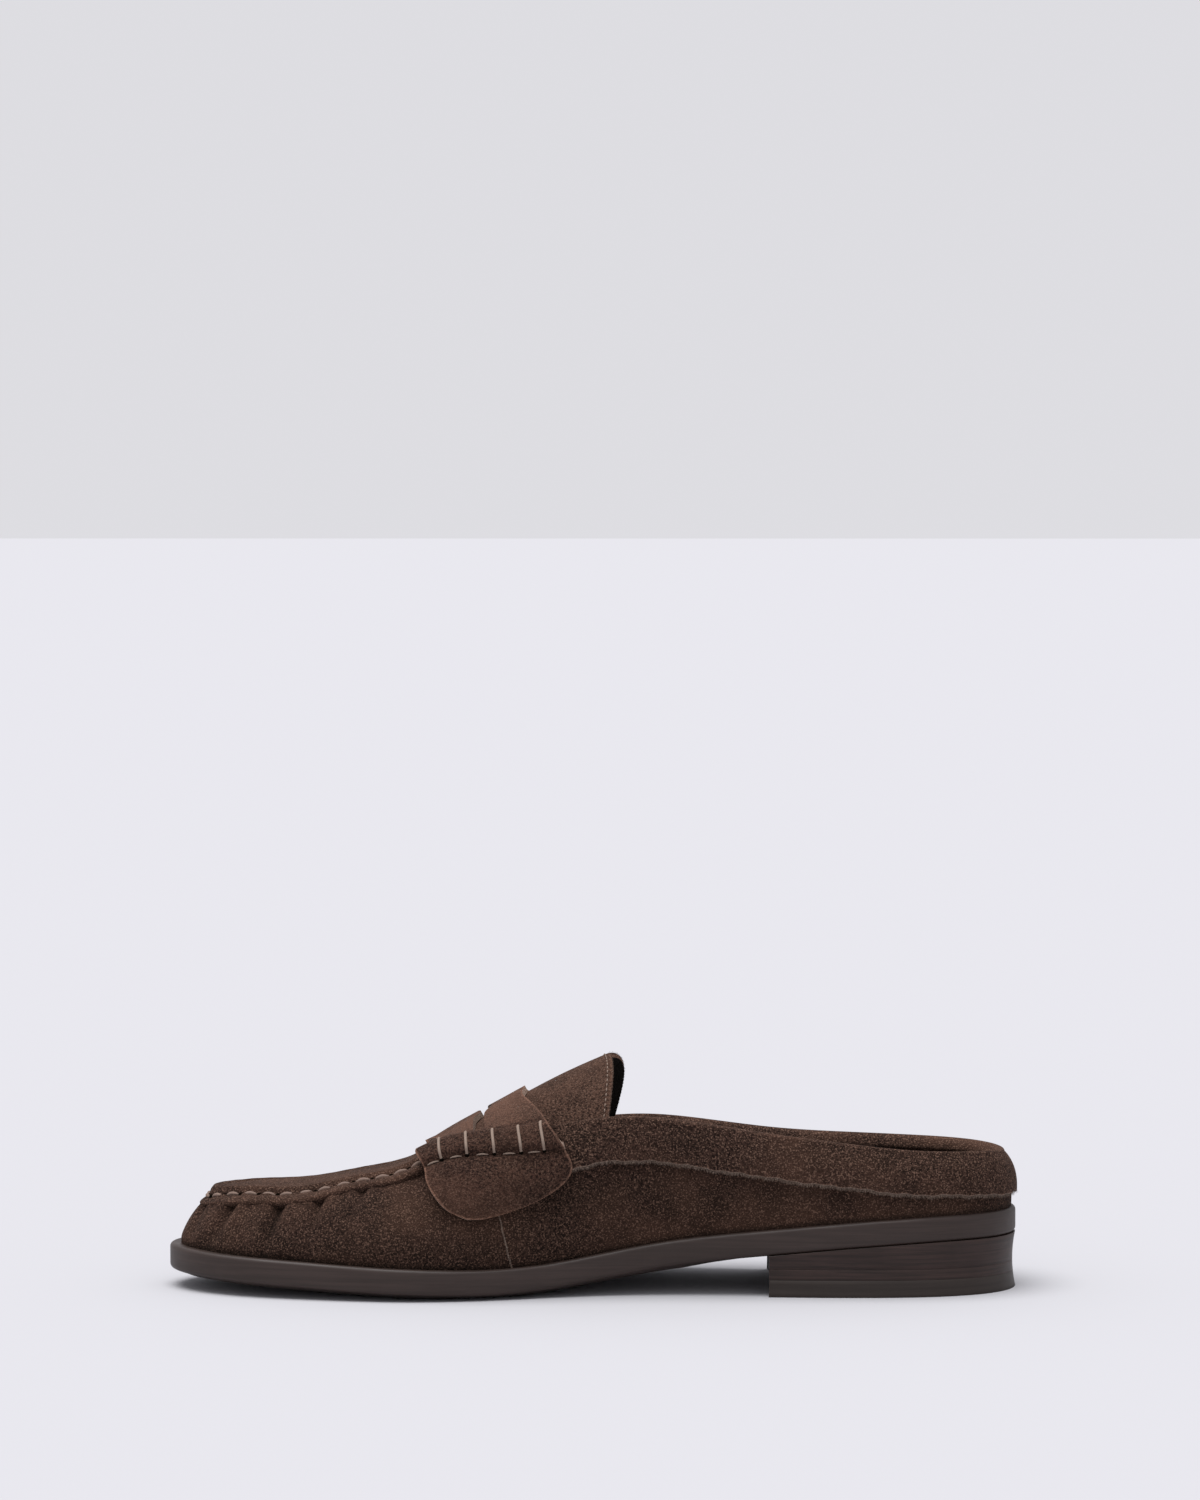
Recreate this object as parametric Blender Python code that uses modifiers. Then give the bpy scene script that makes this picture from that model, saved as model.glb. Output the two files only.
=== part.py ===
"""Right loafer mule: suede upper with a gathered apron seam, a strap over the
instep, a low back with a collar band, and a thin sole on a stacked heel.

Metres, Z up. The toe points to -X, the medial side faces -Y, and the origin
lies on the floor under the middle of the shoe.
"""

import math
from collections import namedtuple

import bmesh
import bpy
import numpy as np

# Driving dimensions of the sole and heel
SOLE_LENGTH = 0.265
BALL_WIDTH = 0.088
EDGE_THICKNESS = 0.0080
CAMBER = 0.0016
HEEL_PITCH = 0.0156
TOE_SPRING = 0.0039
EDGE_ROUNDING = 0.0013
TREAD_MARGIN = 0.0080
FLOOR_WEAR = 0.0003

BREAST_ALONG = 0.293
BREAST_HOLLOW = 0.0020
TOP_LIFT = 0.0052
LOWER_LIFT = 0.0033
HEEL_INSET = 0.0004
HEEL_WAIST = 0.0009

# Driving dimensions of the upper
INSTEP_RISE = 0.059
LEDGE = 0.0022
BELLY = 0.0042
WALL = 0.0018
INSOLE_THICKNESS = 0.0025
INSOLE_CLEARANCE = 0.0010

PLUG_THICKNESS = 0.0016
LIP_WIDTH = 0.0040
TONGUE_DEPTH = 0.0055
TONGUE_CLEARANCE = 0.0032

BAND_THICKNESS = 0.0012
BAND_WIDTH = 0.0120
BAND_INSIDE = 0.0035
BAND_FLARE = 0.0035
BAND_FLARE_LENGTH = 0.018
BAND_EASE = 0.0002

STRAP_THICKNESS = 0.0018
WING_DROP = 0.0262
ROLL_STEP = 0.0012
SLOT_WIDTH = 0.0034

GAP = 0.0003
SEAT_GAP = 0.00045
WELD = 0.000001
TURN = 2.0 * math.pi

COLUMNS_AROUND = 80
WALL_ROWS = 10
DECK_STEPS = 4

# Heights of the sole's top edge along the shoe, from the heel forward.
# pitch is the share of HEEL_PITCH, and spring the share of TOE_SPRING.
Level = namedtuple("Level", "along pitch spring")
SOLE_LEVELS = (
    Level(0.000, 1.000, 0.00),
    Level(0.060, 0.995, 0.00),
    Level(0.125, 0.950, 0.00),
    Level(0.210, 0.845, 0.00),
    Level(0.295, 0.705, 0.00),
    Level(0.372, 0.565, 0.00),
    Level(0.430, 0.420, 0.00),
    Level(0.489, 0.230, 0.00),
    Level(0.540, 0.085, 0.00),
    Level(0.600, 0.000, 0.00),
    Level(0.670, 0.000, 0.03),
    Level(0.770, 0.000, 0.30),
    Level(0.850, 0.000, 0.56),
    Level(0.930, 0.000, 0.78),
    Level(1.000, 0.000, 1.00),
)

# One row for each section around the shoe, from the heel along the medial
# side to the toe and back along the lateral side. along is the share of
# SOLE_LENGTH from the heel, across the share of half of BALL_WIDTH, ledge
# and belly the shares of LEDGE and BELLY, knee and shoulder shape the wall,
# and the top columns place its top line, rise being a share of INSTEP_RISE.
Section = namedtuple(
    "Section",
    "side along across ledge belly knee shoulder top_along top_across rise",
)
SECTIONS = (
    Section("medial", 0.000, -0.01, 0.60, 0.10, 0.40, 0.60, 0.0185, -0.010, 0.268),
    Section("medial", 0.040, -0.47, 0.55, 0.20, 0.40, 0.60, 0.045, -0.400, 0.292),
    Section("medial", 0.125, -0.66, 0.60, 0.35, 0.40, 0.60, 0.125, -0.590, 0.324),
    Section("medial", 0.240, -0.69, 0.75, 0.50, 0.40, 0.60, 0.240, -0.636, 0.425),
    Section("medial", 0.340, -0.66, 0.85, 0.70, 0.40, 0.60, 0.340, -0.643, 0.534),
    Section("medial", 0.430, -0.65, 0.90, 0.85, 0.40, 0.60, 0.430, -0.643, 0.641),
    Section("medial", 0.500, -0.70, 0.95, 0.90, 0.40, 0.65, 0.500, -0.625, 0.688),
    Section("medial", 0.555, -0.79, 1.00, 0.90, 0.40, 0.70, 0.555, -0.586, 0.669),
    Section("medial", 0.610, -0.90, 1.00, 0.85, 0.40, 0.78, 0.610, -0.573, 0.629),
    Section("medial", 0.670, -0.98, 1.00, 0.80, 0.40, 0.80, 0.670, -0.568, 0.567),
    Section("medial", 0.720, -1.00, 1.00, 0.70, 0.40, 0.78, 0.720, -0.568, 0.451),
    Section("medial", 0.770, -0.97, 1.00, 0.60, 0.40, 0.72, 0.770, -0.552, 0.390),
    Section("medial", 0.830, -0.90, 1.05, 0.50, 0.36, 0.64, 0.830, -0.530, 0.314),
    Section("medial", 0.900, -0.780, 1.15, 0.30, 0.30, 0.50, 0.898, -0.440, 0.285),
    Section("medial", 0.955, -0.595, 1.35, 0.10, 0.26, 0.40, 0.938, -0.310, 0.258),
    Section("medial", 1.000, -0.13, 1.60, 0.00, 0.25, 0.35, 0.952, -0.115, 0.240),
    Section("lateral", 0.955, 0.36, 1.35, 0.10, 0.26, 0.40, 0.938, 0.095, 0.250),
    Section("lateral", 0.900, 0.58, 1.15, 0.30, 0.30, 0.50, 0.898, 0.255, 0.262),
    Section("lateral", 0.830, 0.76, 1.05, 0.50, 0.36, 0.64, 0.830, 0.420, 0.276),
    Section("lateral", 0.770, 0.87, 1.00, 0.60, 0.40, 0.72, 0.770, 0.505, 0.335),
    Section("lateral", 0.720, 0.95, 1.00, 0.70, 0.40, 0.78, 0.720, 0.550, 0.393),
    Section("lateral", 0.660, 0.998, 1.10, 0.65, 0.40, 0.80, 0.662, 0.580, 0.515),
    Section("lateral", 0.600, 0.995, 1.15, 0.60, 0.40, 0.78, 0.600, 0.592, 0.568),
    Section("lateral", 0.540, 0.94, 1.10, 0.70, 0.40, 0.70, 0.545, 0.603, 0.590),
    Section("lateral", 0.470, 0.86, 0.95, 0.90, 0.40, 0.65, 0.470, 0.612, 0.572),
    Section("lateral", 0.380, 0.77, 0.85, 0.80, 0.40, 0.60, 0.380, 0.614, 0.490),
    Section("lateral", 0.285, 0.71, 0.80, 0.60, 0.40, 0.60, 0.285, 0.608, 0.395),
    Section("lateral", 0.190, 0.69, 0.70, 0.45, 0.40, 0.60, 0.190, 0.595, 0.331),
    Section("lateral", 0.110, 0.63, 0.60, 0.35, 0.40, 0.60, 0.112, 0.545, 0.297),
    Section("lateral", 0.040, 0.45, 0.55, 0.20, 0.40, 0.60, 0.045, 0.380, 0.278),
)

# The crown line of the apron and tongue, from the apron's front to the
# tongue's end, with the same shares as the sections.
Crown = namedtuple("Crown", "along across rise")
CROWN_LINE = (
    Crown(0.923, -0.110, 0.318),
    Crown(0.892, -0.080, 0.336),
    Crown(0.843, -0.030, 0.354),
    Crown(0.787, 0.000, 0.398),
    Crown(0.730, 0.020, 0.462),
    Crown(0.700, 0.030, 0.523),
    Crown(0.670, 0.035, 0.612),
    Crown(0.632, 0.045, 0.717),
    Crown(0.575, 0.045, 0.854),
    Crown(0.530, 0.045, 0.937),
    Crown(0.482, 0.045, 0.995),
)
ARCH_ROUNDNESS = 2.2

# Where the lip stops, where the plug has come inside the quarters, and
# where the collar band starts, as shares of SOLE_LENGTH from the heel.
LIP_END = 0.600
TUCK_END = 0.555
BAND_START = 0.548

# The strap's front and rear edges. level runs from 0 at the crown to 1 at
# the top line, and then to 2 at the wing's lower end.
Edge = namedtuple("Edge", "level front rear")
STRAP_EDGES = (
    Edge(0.00, 0.685, 0.582),
    Edge(0.50, 0.690, 0.572),
    Edge(0.90, 0.700, 0.552),
    Edge(1.10, 0.7025, 0.541),
    Edge(1.30, 0.694, 0.529),
    Edge(1.50, 0.687, 0.521),
    Edge(1.68, 0.680, 0.521),
    Edge(1.82, 0.672, 0.531),
    Edge(1.93, 0.660, 0.549),
    Edge(2.00, 0.640, 0.580),
)
# Girth levels of the strap's rows on one side, and how far each stands off
# the wall or the plug beyond the least clearance, in shares of ROLL_STEP.
Girth = namedtuple("Girth", "level stand")
STRAP_GIRTHS = (
    Girth(0.00, 0.0),
    Girth(0.35, 0.0),
    Girth(0.65, 0.1),
    Girth(0.88, 0.6),
    Girth(1.00, 1.1),
    Girth(1.12, 1.1),
    Girth(1.24, 1.0),
    Girth(1.27, 0.0),
    Girth(1.50, 0.0),
    Girth(1.70, 0.0),
    Girth(1.86, 0.0),
    Girth(1.95, 0.0),
    Girth(2.00, 0.0),
)
# How much of that stand each of the strap's columns keeps, front to rear.
STRAP_RELIEF = (0.8, 1.0, 1.0, 1.0, 1.0, 1.0, 1.0, 0.8)
SLOT_ALONG = 0.627
SLOT_LEVEL = 0.90
# Where the columns divide on the wings, and the levels over which the wing
# comes down from the lip to the wall.
WING_DIVISION = 0.56
SNUG_START = 1.66
SNUG_END = 1.92

Finish = namedtuple("Finish", "colour roughness")
SUEDE = Finish((0.060, 0.032, 0.022), 0.95)
SUEDE_LIT = Finish((0.085, 0.046, 0.031), 0.95)
SOLE_RUBBER = Finish((0.045, 0.031, 0.028), 0.55)
HEEL_LEATHER = Finish((0.030, 0.016, 0.013), 0.50)
LINING = Finish((0.030, 0.020, 0.015), 0.70)


def smooth_curve(nodes, values):
    """Return a function: the natural cubic spline through the given values."""
    nodes = np.asarray(nodes, float)
    values = np.asarray(values, float)
    count = len(nodes)
    gap = np.diff(nodes)
    system = np.eye(count)
    turn = np.zeros(count)
    for i in range(1, count - 1):
        system[i, i - 1:i + 2] = gap[i - 1], 2.0 * (gap[i - 1] + gap[i]), gap[i]
        rise_after = (values[i + 1] - values[i]) / gap[i]
        rise_before = (values[i] - values[i - 1]) / gap[i - 1]
        turn[i] = 6.0 * (rise_after - rise_before)
    bend = np.linalg.solve(system, turn)

    def at(place):
        place = np.asarray(place, float)
        k = np.clip(np.searchsorted(nodes, place) - 1, 0, count - 2)
        ahead = nodes[k + 1] - place
        behind = place - nodes[k]
        curved = (bend[k] * ahead ** 3 + bend[k + 1] * behind ** 3) / (6.0 * gap[k])
        left = (values[k] / gap[k] - bend[k] * gap[k] / 6.0) * ahead
        right = (values[k + 1] / gap[k] - bend[k + 1] * gap[k] / 6.0) * behind
        return curved + left + right

    return at


def closed_curve(nodes, values):
    """Return the same kind of curve around the shoe, with no start or end."""
    nodes = np.asarray(nodes, float)
    values = np.asarray(values, float)
    lap_nodes = np.concatenate((nodes - TURN, nodes, nodes + TURN))
    open_curve = smooth_curve(lap_nodes, np.tile(values, 3))
    return lambda angle: open_curve(np.mod(angle, TURN))


def angle_of(side, along):
    """Angle around the shoe of a place on one side of the sole's outline."""
    half_turn = math.acos(1.0 - 2.0 * along)
    return half_turn if side == "medial" else TURN - half_turn


SECTION_ANGLES = [angle_of(row.side, row.along) for row in SECTIONS]


def column(name):
    """The curve around the shoe of one column of the section table."""
    return closed_curve(SECTION_ANGLES, [getattr(row, name) for row in SECTIONS])


across_at = column("across")
ledge_at = column("ledge")
belly_at = column("belly")
knee_at = column("knee")
shoulder_at = column("shoulder")
top_along_at = column("top_along")
top_across_at = column("top_across")
rise_at = column("rise")

LEVEL_PLACES = [-row.along for row in reversed(SOLE_LEVELS)]
pitch_at = smooth_curve(LEVEL_PLACES, [row.pitch for row in reversed(SOLE_LEVELS)])
spring_at = smooth_curve(LEVEL_PLACES, [row.spring for row in reversed(SOLE_LEVELS)])

CROWN_PLACES = [-row.along for row in CROWN_LINE]
crown_across_at = smooth_curve(CROWN_PLACES, [row.across for row in CROWN_LINE])
crown_rise_at = smooth_curve(CROWN_PLACES, [row.rise for row in CROWN_LINE])


def to_x(along):
    """Position along the shoe of a share from the heel."""
    return (0.5 - along) * SOLE_LENGTH


def to_y(across):
    """Position across the shoe of a share of half the ball's width."""
    return 0.5 * BALL_WIDTH * across


def to_along(x):
    """Share from the heel of a position along the shoe."""
    return np.clip(0.5 - x / SOLE_LENGTH, 0.0, 1.0)


def sole_top(x):
    """Height of the sole's upper edge."""
    along = to_along(x)
    lift = HEEL_PITCH * pitch_at(-along) + TOE_SPRING * spring_at(-along)
    return EDGE_THICKNESS + CAMBER + lift


def camber(x):
    """How far the tread hangs below the sole's edge, nothing over the heel."""
    ahead = (to_along(x) - BREAST_ALONG) / 0.10
    return (CAMBER + FLOOR_WEAR) * np.clip(ahead, 0.0, 1.0)


def tread(x):
    """Height of the tread, worn flat where it meets the floor."""
    return np.maximum(0.0, sole_top(x) - EDGE_THICKNESS - camber(x))


def outline(angle, inset=0.0):
    """Plan point of the sole's outline, moved inward by an inset."""
    angle = np.asarray(angle, float)
    step = 0.001
    x = 0.5 * SOLE_LENGTH * np.cos(angle)
    y = to_y(across_at(angle))
    run_x = -SOLE_LENGTH * np.sin(angle) * step
    run_y = 0.5 * BALL_WIDTH * (across_at(angle + step) - across_at(angle - step))
    size = np.hypot(run_x, run_y)
    out_x = -run_y / size
    out_y = run_x / size
    return x - inset * out_x, y - inset * out_y, out_x, out_y


def wall_controls(angle):
    """Four control points of the wall's outer section at each angle."""
    foot_x, foot_y, out_x, out_y = outline(angle, LEDGE * ledge_at(angle))
    foot_z = sole_top(foot_x) + SEAT_GAP
    top_x = to_x(top_along_at(angle))
    top_y = to_y(top_across_at(angle))
    top_z = sole_top(top_x) + INSTEP_RISE * rise_at(angle)
    height = top_z - foot_z
    out = BELLY * belly_at(angle)
    lean = shoulder_at(angle)
    foot = np.stack((foot_x, foot_y, foot_z), axis=-1)
    knee = np.stack((foot_x + out * out_x, foot_y + out * out_y,
                     foot_z + knee_at(angle) * height), axis=-1)
    shoulder = np.stack((top_x + lean * (foot_x - top_x) + 0.5 * out * out_x,
                         top_y + lean * (foot_y - top_y) + 0.5 * out * out_y,
                         top_z - 0.18 * height), axis=-1)
    top = np.stack((top_x, top_y, top_z), axis=-1)
    return foot, knee, shoulder, top


SAMPLES = np.linspace(0.0, 1.0, 33)


def wall_lines(angle):
    """Points down the wall's section, and their distance below its top."""
    foot, knee, shoulder, top = wall_controls(np.atleast_1d(angle))
    t = SAMPLES[:, None, None]
    lines = ((1 - t) ** 3 * top + 3 * (1 - t) ** 2 * t * shoulder
             + 3 * (1 - t) * t ** 2 * knee + t ** 3 * foot)
    steps = np.linalg.norm(np.diff(lines, axis=0), axis=-1)
    below = np.concatenate((np.zeros((1, steps.shape[1])), np.cumsum(steps, axis=0)))
    return lines, below


def wall_point(angle, drop):
    """Point of the wall's outer side at a distance below its top line."""
    angle = np.atleast_1d(angle)
    drop = np.broadcast_to(drop, angle.shape)
    lines, below = wall_lines(angle)
    points = np.empty((len(angle), 3))
    for i in range(len(angle)):
        for axis in range(3):
            points[i, axis] = np.interp(drop[i], below[:, i], lines[:, i, axis])
    return points


def wall_length(angle):
    """Length of the wall's section from the top line to the feather edge."""
    return wall_lines(angle)[1][-1]


def unit(vectors):
    """The vectors at length one."""
    return vectors / np.maximum(np.linalg.norm(vectors, axis=-1, keepdims=True), 1e-12)


def wall_skin(angle, drop, offset):
    """Point off the wall by an offset along its outward normal."""
    angle = np.atleast_1d(angle)
    drop = np.broadcast_to(np.asarray(drop, float), angle.shape)
    turn = 0.002
    slide = 0.0004
    low = np.minimum(drop + slide, wall_length(angle))
    high = np.maximum(low - 2.0 * slide, 0.0)
    along = wall_point(angle + turn, drop) - wall_point(angle - turn, drop)
    down = wall_point(angle, low) - wall_point(angle, high)
    normal = unit(np.cross(along, down))
    return wall_point(angle, drop) + np.asarray(offset).reshape(-1, 1) * normal


PLUG_LIFT = PLUG_THICKNESS + GAP
CROWN_FRONT = to_x(CROWN_LINE[0].along)
CROWN_BACK = to_x(CROWN_LINE[-1].along)


def crown_point(x):
    """Point of the crown line level with a place along the shoe."""
    x = np.clip(x, CROWN_FRONT, CROWN_BACK)
    along = to_along(x)
    y = to_y(crown_across_at(-along))
    z = sole_top(x) + INSTEP_RISE * crown_rise_at(-along)
    return np.stack((x, y, z), axis=-1)


def tuck(angle):
    """How far the plug has gone inside the quarters: 0 ahead, 1 behind."""
    along = top_along_at(angle)
    return np.clip((LIP_END - along) / (LIP_END - TUCK_END), 0.0, 1.0)


def arch_point(angle, share, tucked=0.0):
    """Point of the plug's outer side, from the wall's top to the crown line.

    Where the plug is tucked, its base has come in beside the wall and down.
    """
    angle = np.atleast_1d(angle)
    top = wall_controls(angle)[3]
    crown = crown_point(0.5 * SOLE_LENGTH * np.cos(angle))
    inward = unit((crown - top) * np.array((1.0, 1.0, 0.0)))
    amount = np.broadcast_to(tucked, angle.shape)[:, None]
    sideways = np.clip(2.0 * amount, 0.0, 1.0) * TONGUE_CLEARANCE
    downward = np.clip(2.0 * amount - 1.0, 0.0, 1.0) * TONGUE_DEPTH
    base = top + inward * sideways + np.array((0.0, 0.0, 1.0)) * (PLUG_LIFT - downward)
    points = base + share * (crown - base)
    arch = 1.0 - (1.0 - share) ** ARCH_ROUNDNESS
    points[:, 2] = base[:, 2] + arch * (crown[:, 2] - base[:, 2])
    return points


def arch_skin(angle, share, offset):
    """Point off the untucked arch by an offset along its upward normal."""
    angle = np.atleast_1d(angle)
    turn = 0.002
    slide = 0.01
    side = arch_point(angle + turn, share) - arch_point(angle - turn, share)
    inner = min(share + slide, 1.0)
    outer = max(inner - 2.0 * slide, 0.0)
    climb = arch_point(angle, inner) - arch_point(angle, outer)
    normal = unit(np.cross(climb, side))
    normal[np.where(normal[:, 2] < 0.2)] = (0.0, 0.0, 1.0)
    return arch_point(angle, share) + np.asarray(offset).reshape(-1, 1) * normal


def new_object(name, points, faces, finish, collection):
    """Weld the points into one mesh object with its own material."""
    shape = bmesh.new()
    verts = [shape.verts.new(tuple(point)) for point in points]
    for face in faces:
        corners = [verts[i] for i in face]
        if len(set(corners)) == len(corners):
            shape.faces.new(corners)
    bmesh.ops.remove_doubles(shape, verts=shape.verts, dist=WELD)
    bmesh.ops.dissolve_degenerate(shape, edges=shape.edges, dist=WELD)
    mesh = bpy.data.meshes.new(name)
    shape.to_mesh(mesh)
    shape.free()
    mesh.shade_smooth()
    mesh.set_sharp_from_angle(angle=math.radians(40.0))
    piece = bpy.data.objects.new(name, mesh)
    collection.objects.link(piece)
    material = bpy.data.materials.new(name + "_finish")
    material.use_nodes = True
    shader = material.node_tree.nodes["Principled BSDF"]
    shader.inputs["Base Color"].default_value = (*finish.colour, 1.0)
    shader.inputs["Roughness"].default_value = finish.roughness
    mesh.materials.append(material)
    return piece


def grid_faces(rows, columns, wrap=False, skip=()):
    """Quads of a grid of points, with any named cells left open."""
    faces = []
    for r in range(rows - 1):
        for c in range(columns if wrap else columns - 1):
            if (r, c) in skip:
                continue
            after = (c + 1) % columns
            faces.append((r * columns + c, r * columns + after,
                          (r + 1) * columns + after, (r + 1) * columns + c))
    return faces


def thicken(piece, thickness):
    """Give an open surface its wall, on the inner side."""
    solid = piece.modifiers.new("wall", "SOLIDIFY")
    solid.thickness = thickness
    solid.offset = -1.0
    solid.use_even_offset = True
    solid.use_quality_normals = True


def side_angles():
    """Angles of the columns from the heel to the toe along one side."""
    return np.linspace(0.0, math.pi, COLUMNS_AROUND // 2 + 1)


def columns_between(start, end):
    """Two end angles, with every column of the wall that lies between them."""
    step = TURN / COLUMNS_AROUND
    low, high = min(start, end), max(start, end)
    first = math.floor(low / step) - 1
    last = math.ceil(high / step) + 1
    inside = [i * step for i in range(first, last + 1)
              if low + 0.2 * step < i * step < high - 0.2 * step]
    angles = np.array([low] + inside + [high])
    return angles if start < end else angles[::-1]


def slab(name, profile, angles, finish, collection):
    """Close a slab between the two sides of the outline.

    profile holds pairs, from the top face around the edge to the bottom face:
    the inset from the outline, as a function of the angle and x, and the
    height, as a function of x.
    """
    rings = []
    for angle in angles:
        edges = []
        for turned in (angle, TURN - angle):
            edge = []
            for inset_of, height_of in profile:
                x = outline(turned)[0]
                px, py = outline(turned, inset_of(turned, x))[:2]
                edge.append((float(px), float(py), float(height_of(x))))
            edges.append(edge)
        medial, lateral = edges
        shares = [k / DECK_STEPS for k in range(1, DECK_STEPS)]
        bottom = [tuple(np.array(medial[-1]) * (1 - s) + np.array(lateral[-1]) * s)
                  for s in shares]
        top = [tuple(np.array(lateral[0]) * (1 - s) + np.array(medial[0]) * s)
               for s in shares]
        rings.append(medial + bottom + lateral[::-1] + top)
    columns = len(rings[0])
    points = [point for ring in rings for point in ring]
    faces = [tuple(reversed(face)) for face in grid_faces(len(rings), columns, wrap=True)]
    if abs(angles[-1] - math.pi) > WELD:
        last = (len(rings) - 1) * columns
        faces.append(tuple(range(last, last + columns)))
    return new_object(name, points, faces, finish, collection)


def make_outsole(collection):
    """The thin sole: rounded edge, cambered tread, toe spring and waist."""
    def fixed(value):
        return lambda angle, x: value

    def below_top(value):
        return lambda x: sole_top(x) - value

    profile = (
        (fixed(EDGE_ROUNDING), below_top(0.0)),
        (fixed(0.29 * EDGE_ROUNDING), below_top(0.29 * EDGE_ROUNDING)),
        (fixed(0.0), below_top(EDGE_ROUNDING)),
        (fixed(0.0), below_top(EDGE_THICKNESS - EDGE_ROUNDING)),
        (fixed(0.7 * EDGE_ROUNDING), below_top(EDGE_THICKNESS)),
        (fixed(TREAD_MARGIN), tread),
    )
    return slab("outsole", profile, side_angles(), SOLE_RUBBER, collection)


def heel_profile(low_of, high_of):
    """Edge of one lift, following the hollow back of the whole heel."""
    def inset_at(height_of):
        def inset(angle, x):
            whole = sole_top(x) - EDGE_THICKNESS
            share = np.clip(height_of(x) / whole, 0.0, 1.0)
            return HEEL_INSET * share + 4.0 * HEEL_WAIST * share * (1.0 - share)
        return inset

    def middle_of(x):
        return 0.5 * (low_of(x) + high_of(x))

    return tuple((inset_at(h), h) for h in (high_of, middle_of, low_of))


def make_heel(collection, cutters):
    """The stacked heel: a wedge lift, a level lift and the top lift."""
    past_breast = BREAST_ALONG + 0.05
    angles = np.linspace(0.0, angle_of("medial", past_breast), 16)
    radius = (BALL_WIDTH ** 2 / 4.0 + BREAST_HOLLOW ** 2) / (2.0 * BREAST_HOLLOW)
    breast_x = to_x(BREAST_ALONG) + BREAST_HOLLOW
    bpy.ops.mesh.primitive_cylinder_add(
        vertices=256, radius=radius, depth=4.0 * HEEL_PITCH,
        location=(breast_x - radius, 0.0, 0.0))
    cutter = bpy.context.active_object
    cutter.name = "heel_breast_cutter"
    cutter.hide_render = True
    cutter.display_type = "WIRE"
    for home in cutter.users_collection:
        home.objects.unlink(cutter)
    cutters.objects.link(cutter)

    def level(value):
        return lambda x: value + 0.0 * x

    def under_sole(x):
        return sole_top(x) - EDGE_THICKNESS - GAP

    lifts = (
        ("top_lift", level(0.0), level(TOP_LIFT - GAP), SOLE_RUBBER),
        ("heel_lift_lower", level(TOP_LIFT), level(TOP_LIFT + LOWER_LIFT - GAP),
         HEEL_LEATHER),
        ("heel_lift_upper", level(TOP_LIFT + LOWER_LIFT), under_sole, HEEL_LEATHER),
    )
    for name, low_of, high_of, finish in lifts:
        lift = slab(name, heel_profile(low_of, high_of), angles, finish, collection)
        cut = lift.modifiers.new("breast", "BOOLEAN")
        cut.operation = "DIFFERENCE"
        cut.solver = "EXACT"
        cut.object = cutter


def make_insole(collection):
    """The sock on the sole, inside the foot of the wall."""
    def margin(extra):
        def inset(angle, x):
            return LEDGE * ledge_at(angle) + WALL + INSOLE_CLEARANCE + extra
        return inset

    def above_sole(value):
        return lambda x: sole_top(x) + GAP + value

    profile = (
        (margin(0.4 * INSOLE_THICKNESS), above_sole(INSOLE_THICKNESS)),
        (margin(0.0), above_sole(0.6 * INSOLE_THICKNESS)),
        (margin(0.0), above_sole(0.0)),
    )
    return slab("insole", profile, side_angles(), LINING, collection)


def make_upper(collection):
    """Vamp and quarters: one hollow wall around the shoe, open below."""
    angles = np.linspace(0.0, TURN, COLUMNS_AROUND, endpoint=False)
    length = wall_length(angles)
    points = []
    for row in range(WALL_ROWS):
        share = row / (WALL_ROWS - 1)
        points.extend(wall_point(angles, length * share))
    faces = grid_faces(WALL_ROWS, COLUMNS_AROUND, wrap=True)
    piece = new_object("upper", points, faces, SUEDE, collection)
    thicken(piece, WALL)
    return piece


def tongue_end_angle(side):
    """Angle of the last plug column on one side."""
    return angle_of(side, CROWN_LINE[-1].along)


def make_plug(collection):
    """Apron and tongue in one, with a lip over the top of the vamp."""
    angles = columns_between(tongue_end_angle("medial"), tongue_end_angle("lateral"))
    count = len(angles)
    lip_rows = [wall_skin(angles, LIP_WIDTH * share, PLUG_LIFT) for share in (1.0, 0.5, 0.0)]
    tucked = tuck(angles)
    arch_rows = [arch_point(angles, share, tucked)
                 for share in (0.10, 0.28, 0.52, 0.78, 1.0)]
    inside = arch_point(angles, 0.0, tucked)
    lip_rows[2][tucked > 0.0] = inside[tucked > 0.0]
    rows = lip_rows + arch_rows
    skip = {(r, c) for r in (0, 1) for c in range(count - 1)
            if tucked[c] > 0.0 or tucked[c + 1] > 0.0}
    points = [point for row in rows for point in row]
    faces = [tuple(reversed(f)) for f in grid_faces(len(rows), count, skip=skip)]
    used = sorted({i for face in faces for i in face})
    order = {old: new for new, old in enumerate(used)}
    points = [points[i] for i in used]
    faces = [tuple(order[i] for i in face) for face in faces]
    piece = new_object("apron_tongue", points, faces, SUEDE_LIT, collection)
    thicken(piece, PLUG_THICKNESS)
    return piece


def strap_point(x, side, level, stand):
    """Point of the strap's outer side at a girth level on one side."""
    along = to_along(x)
    angle = np.array([angle_of(side, float(along))])
    if level <= 1.0:
        offset = GAP + STRAP_THICKNESS + stand
        return arch_skin(angle, 1.0 - level, offset)[0]
    drop = (level - 1.0) * WING_DROP
    over_lip = PLUG_LIFT + GAP
    stood = np.clip((SNUG_END - level) / (SNUG_END - SNUG_START), 0.0, 1.0)
    snug = GAP + (over_lip - GAP) * stood
    return wall_skin(angle, drop, snug + STRAP_THICKNESS + stand)[0]


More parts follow.
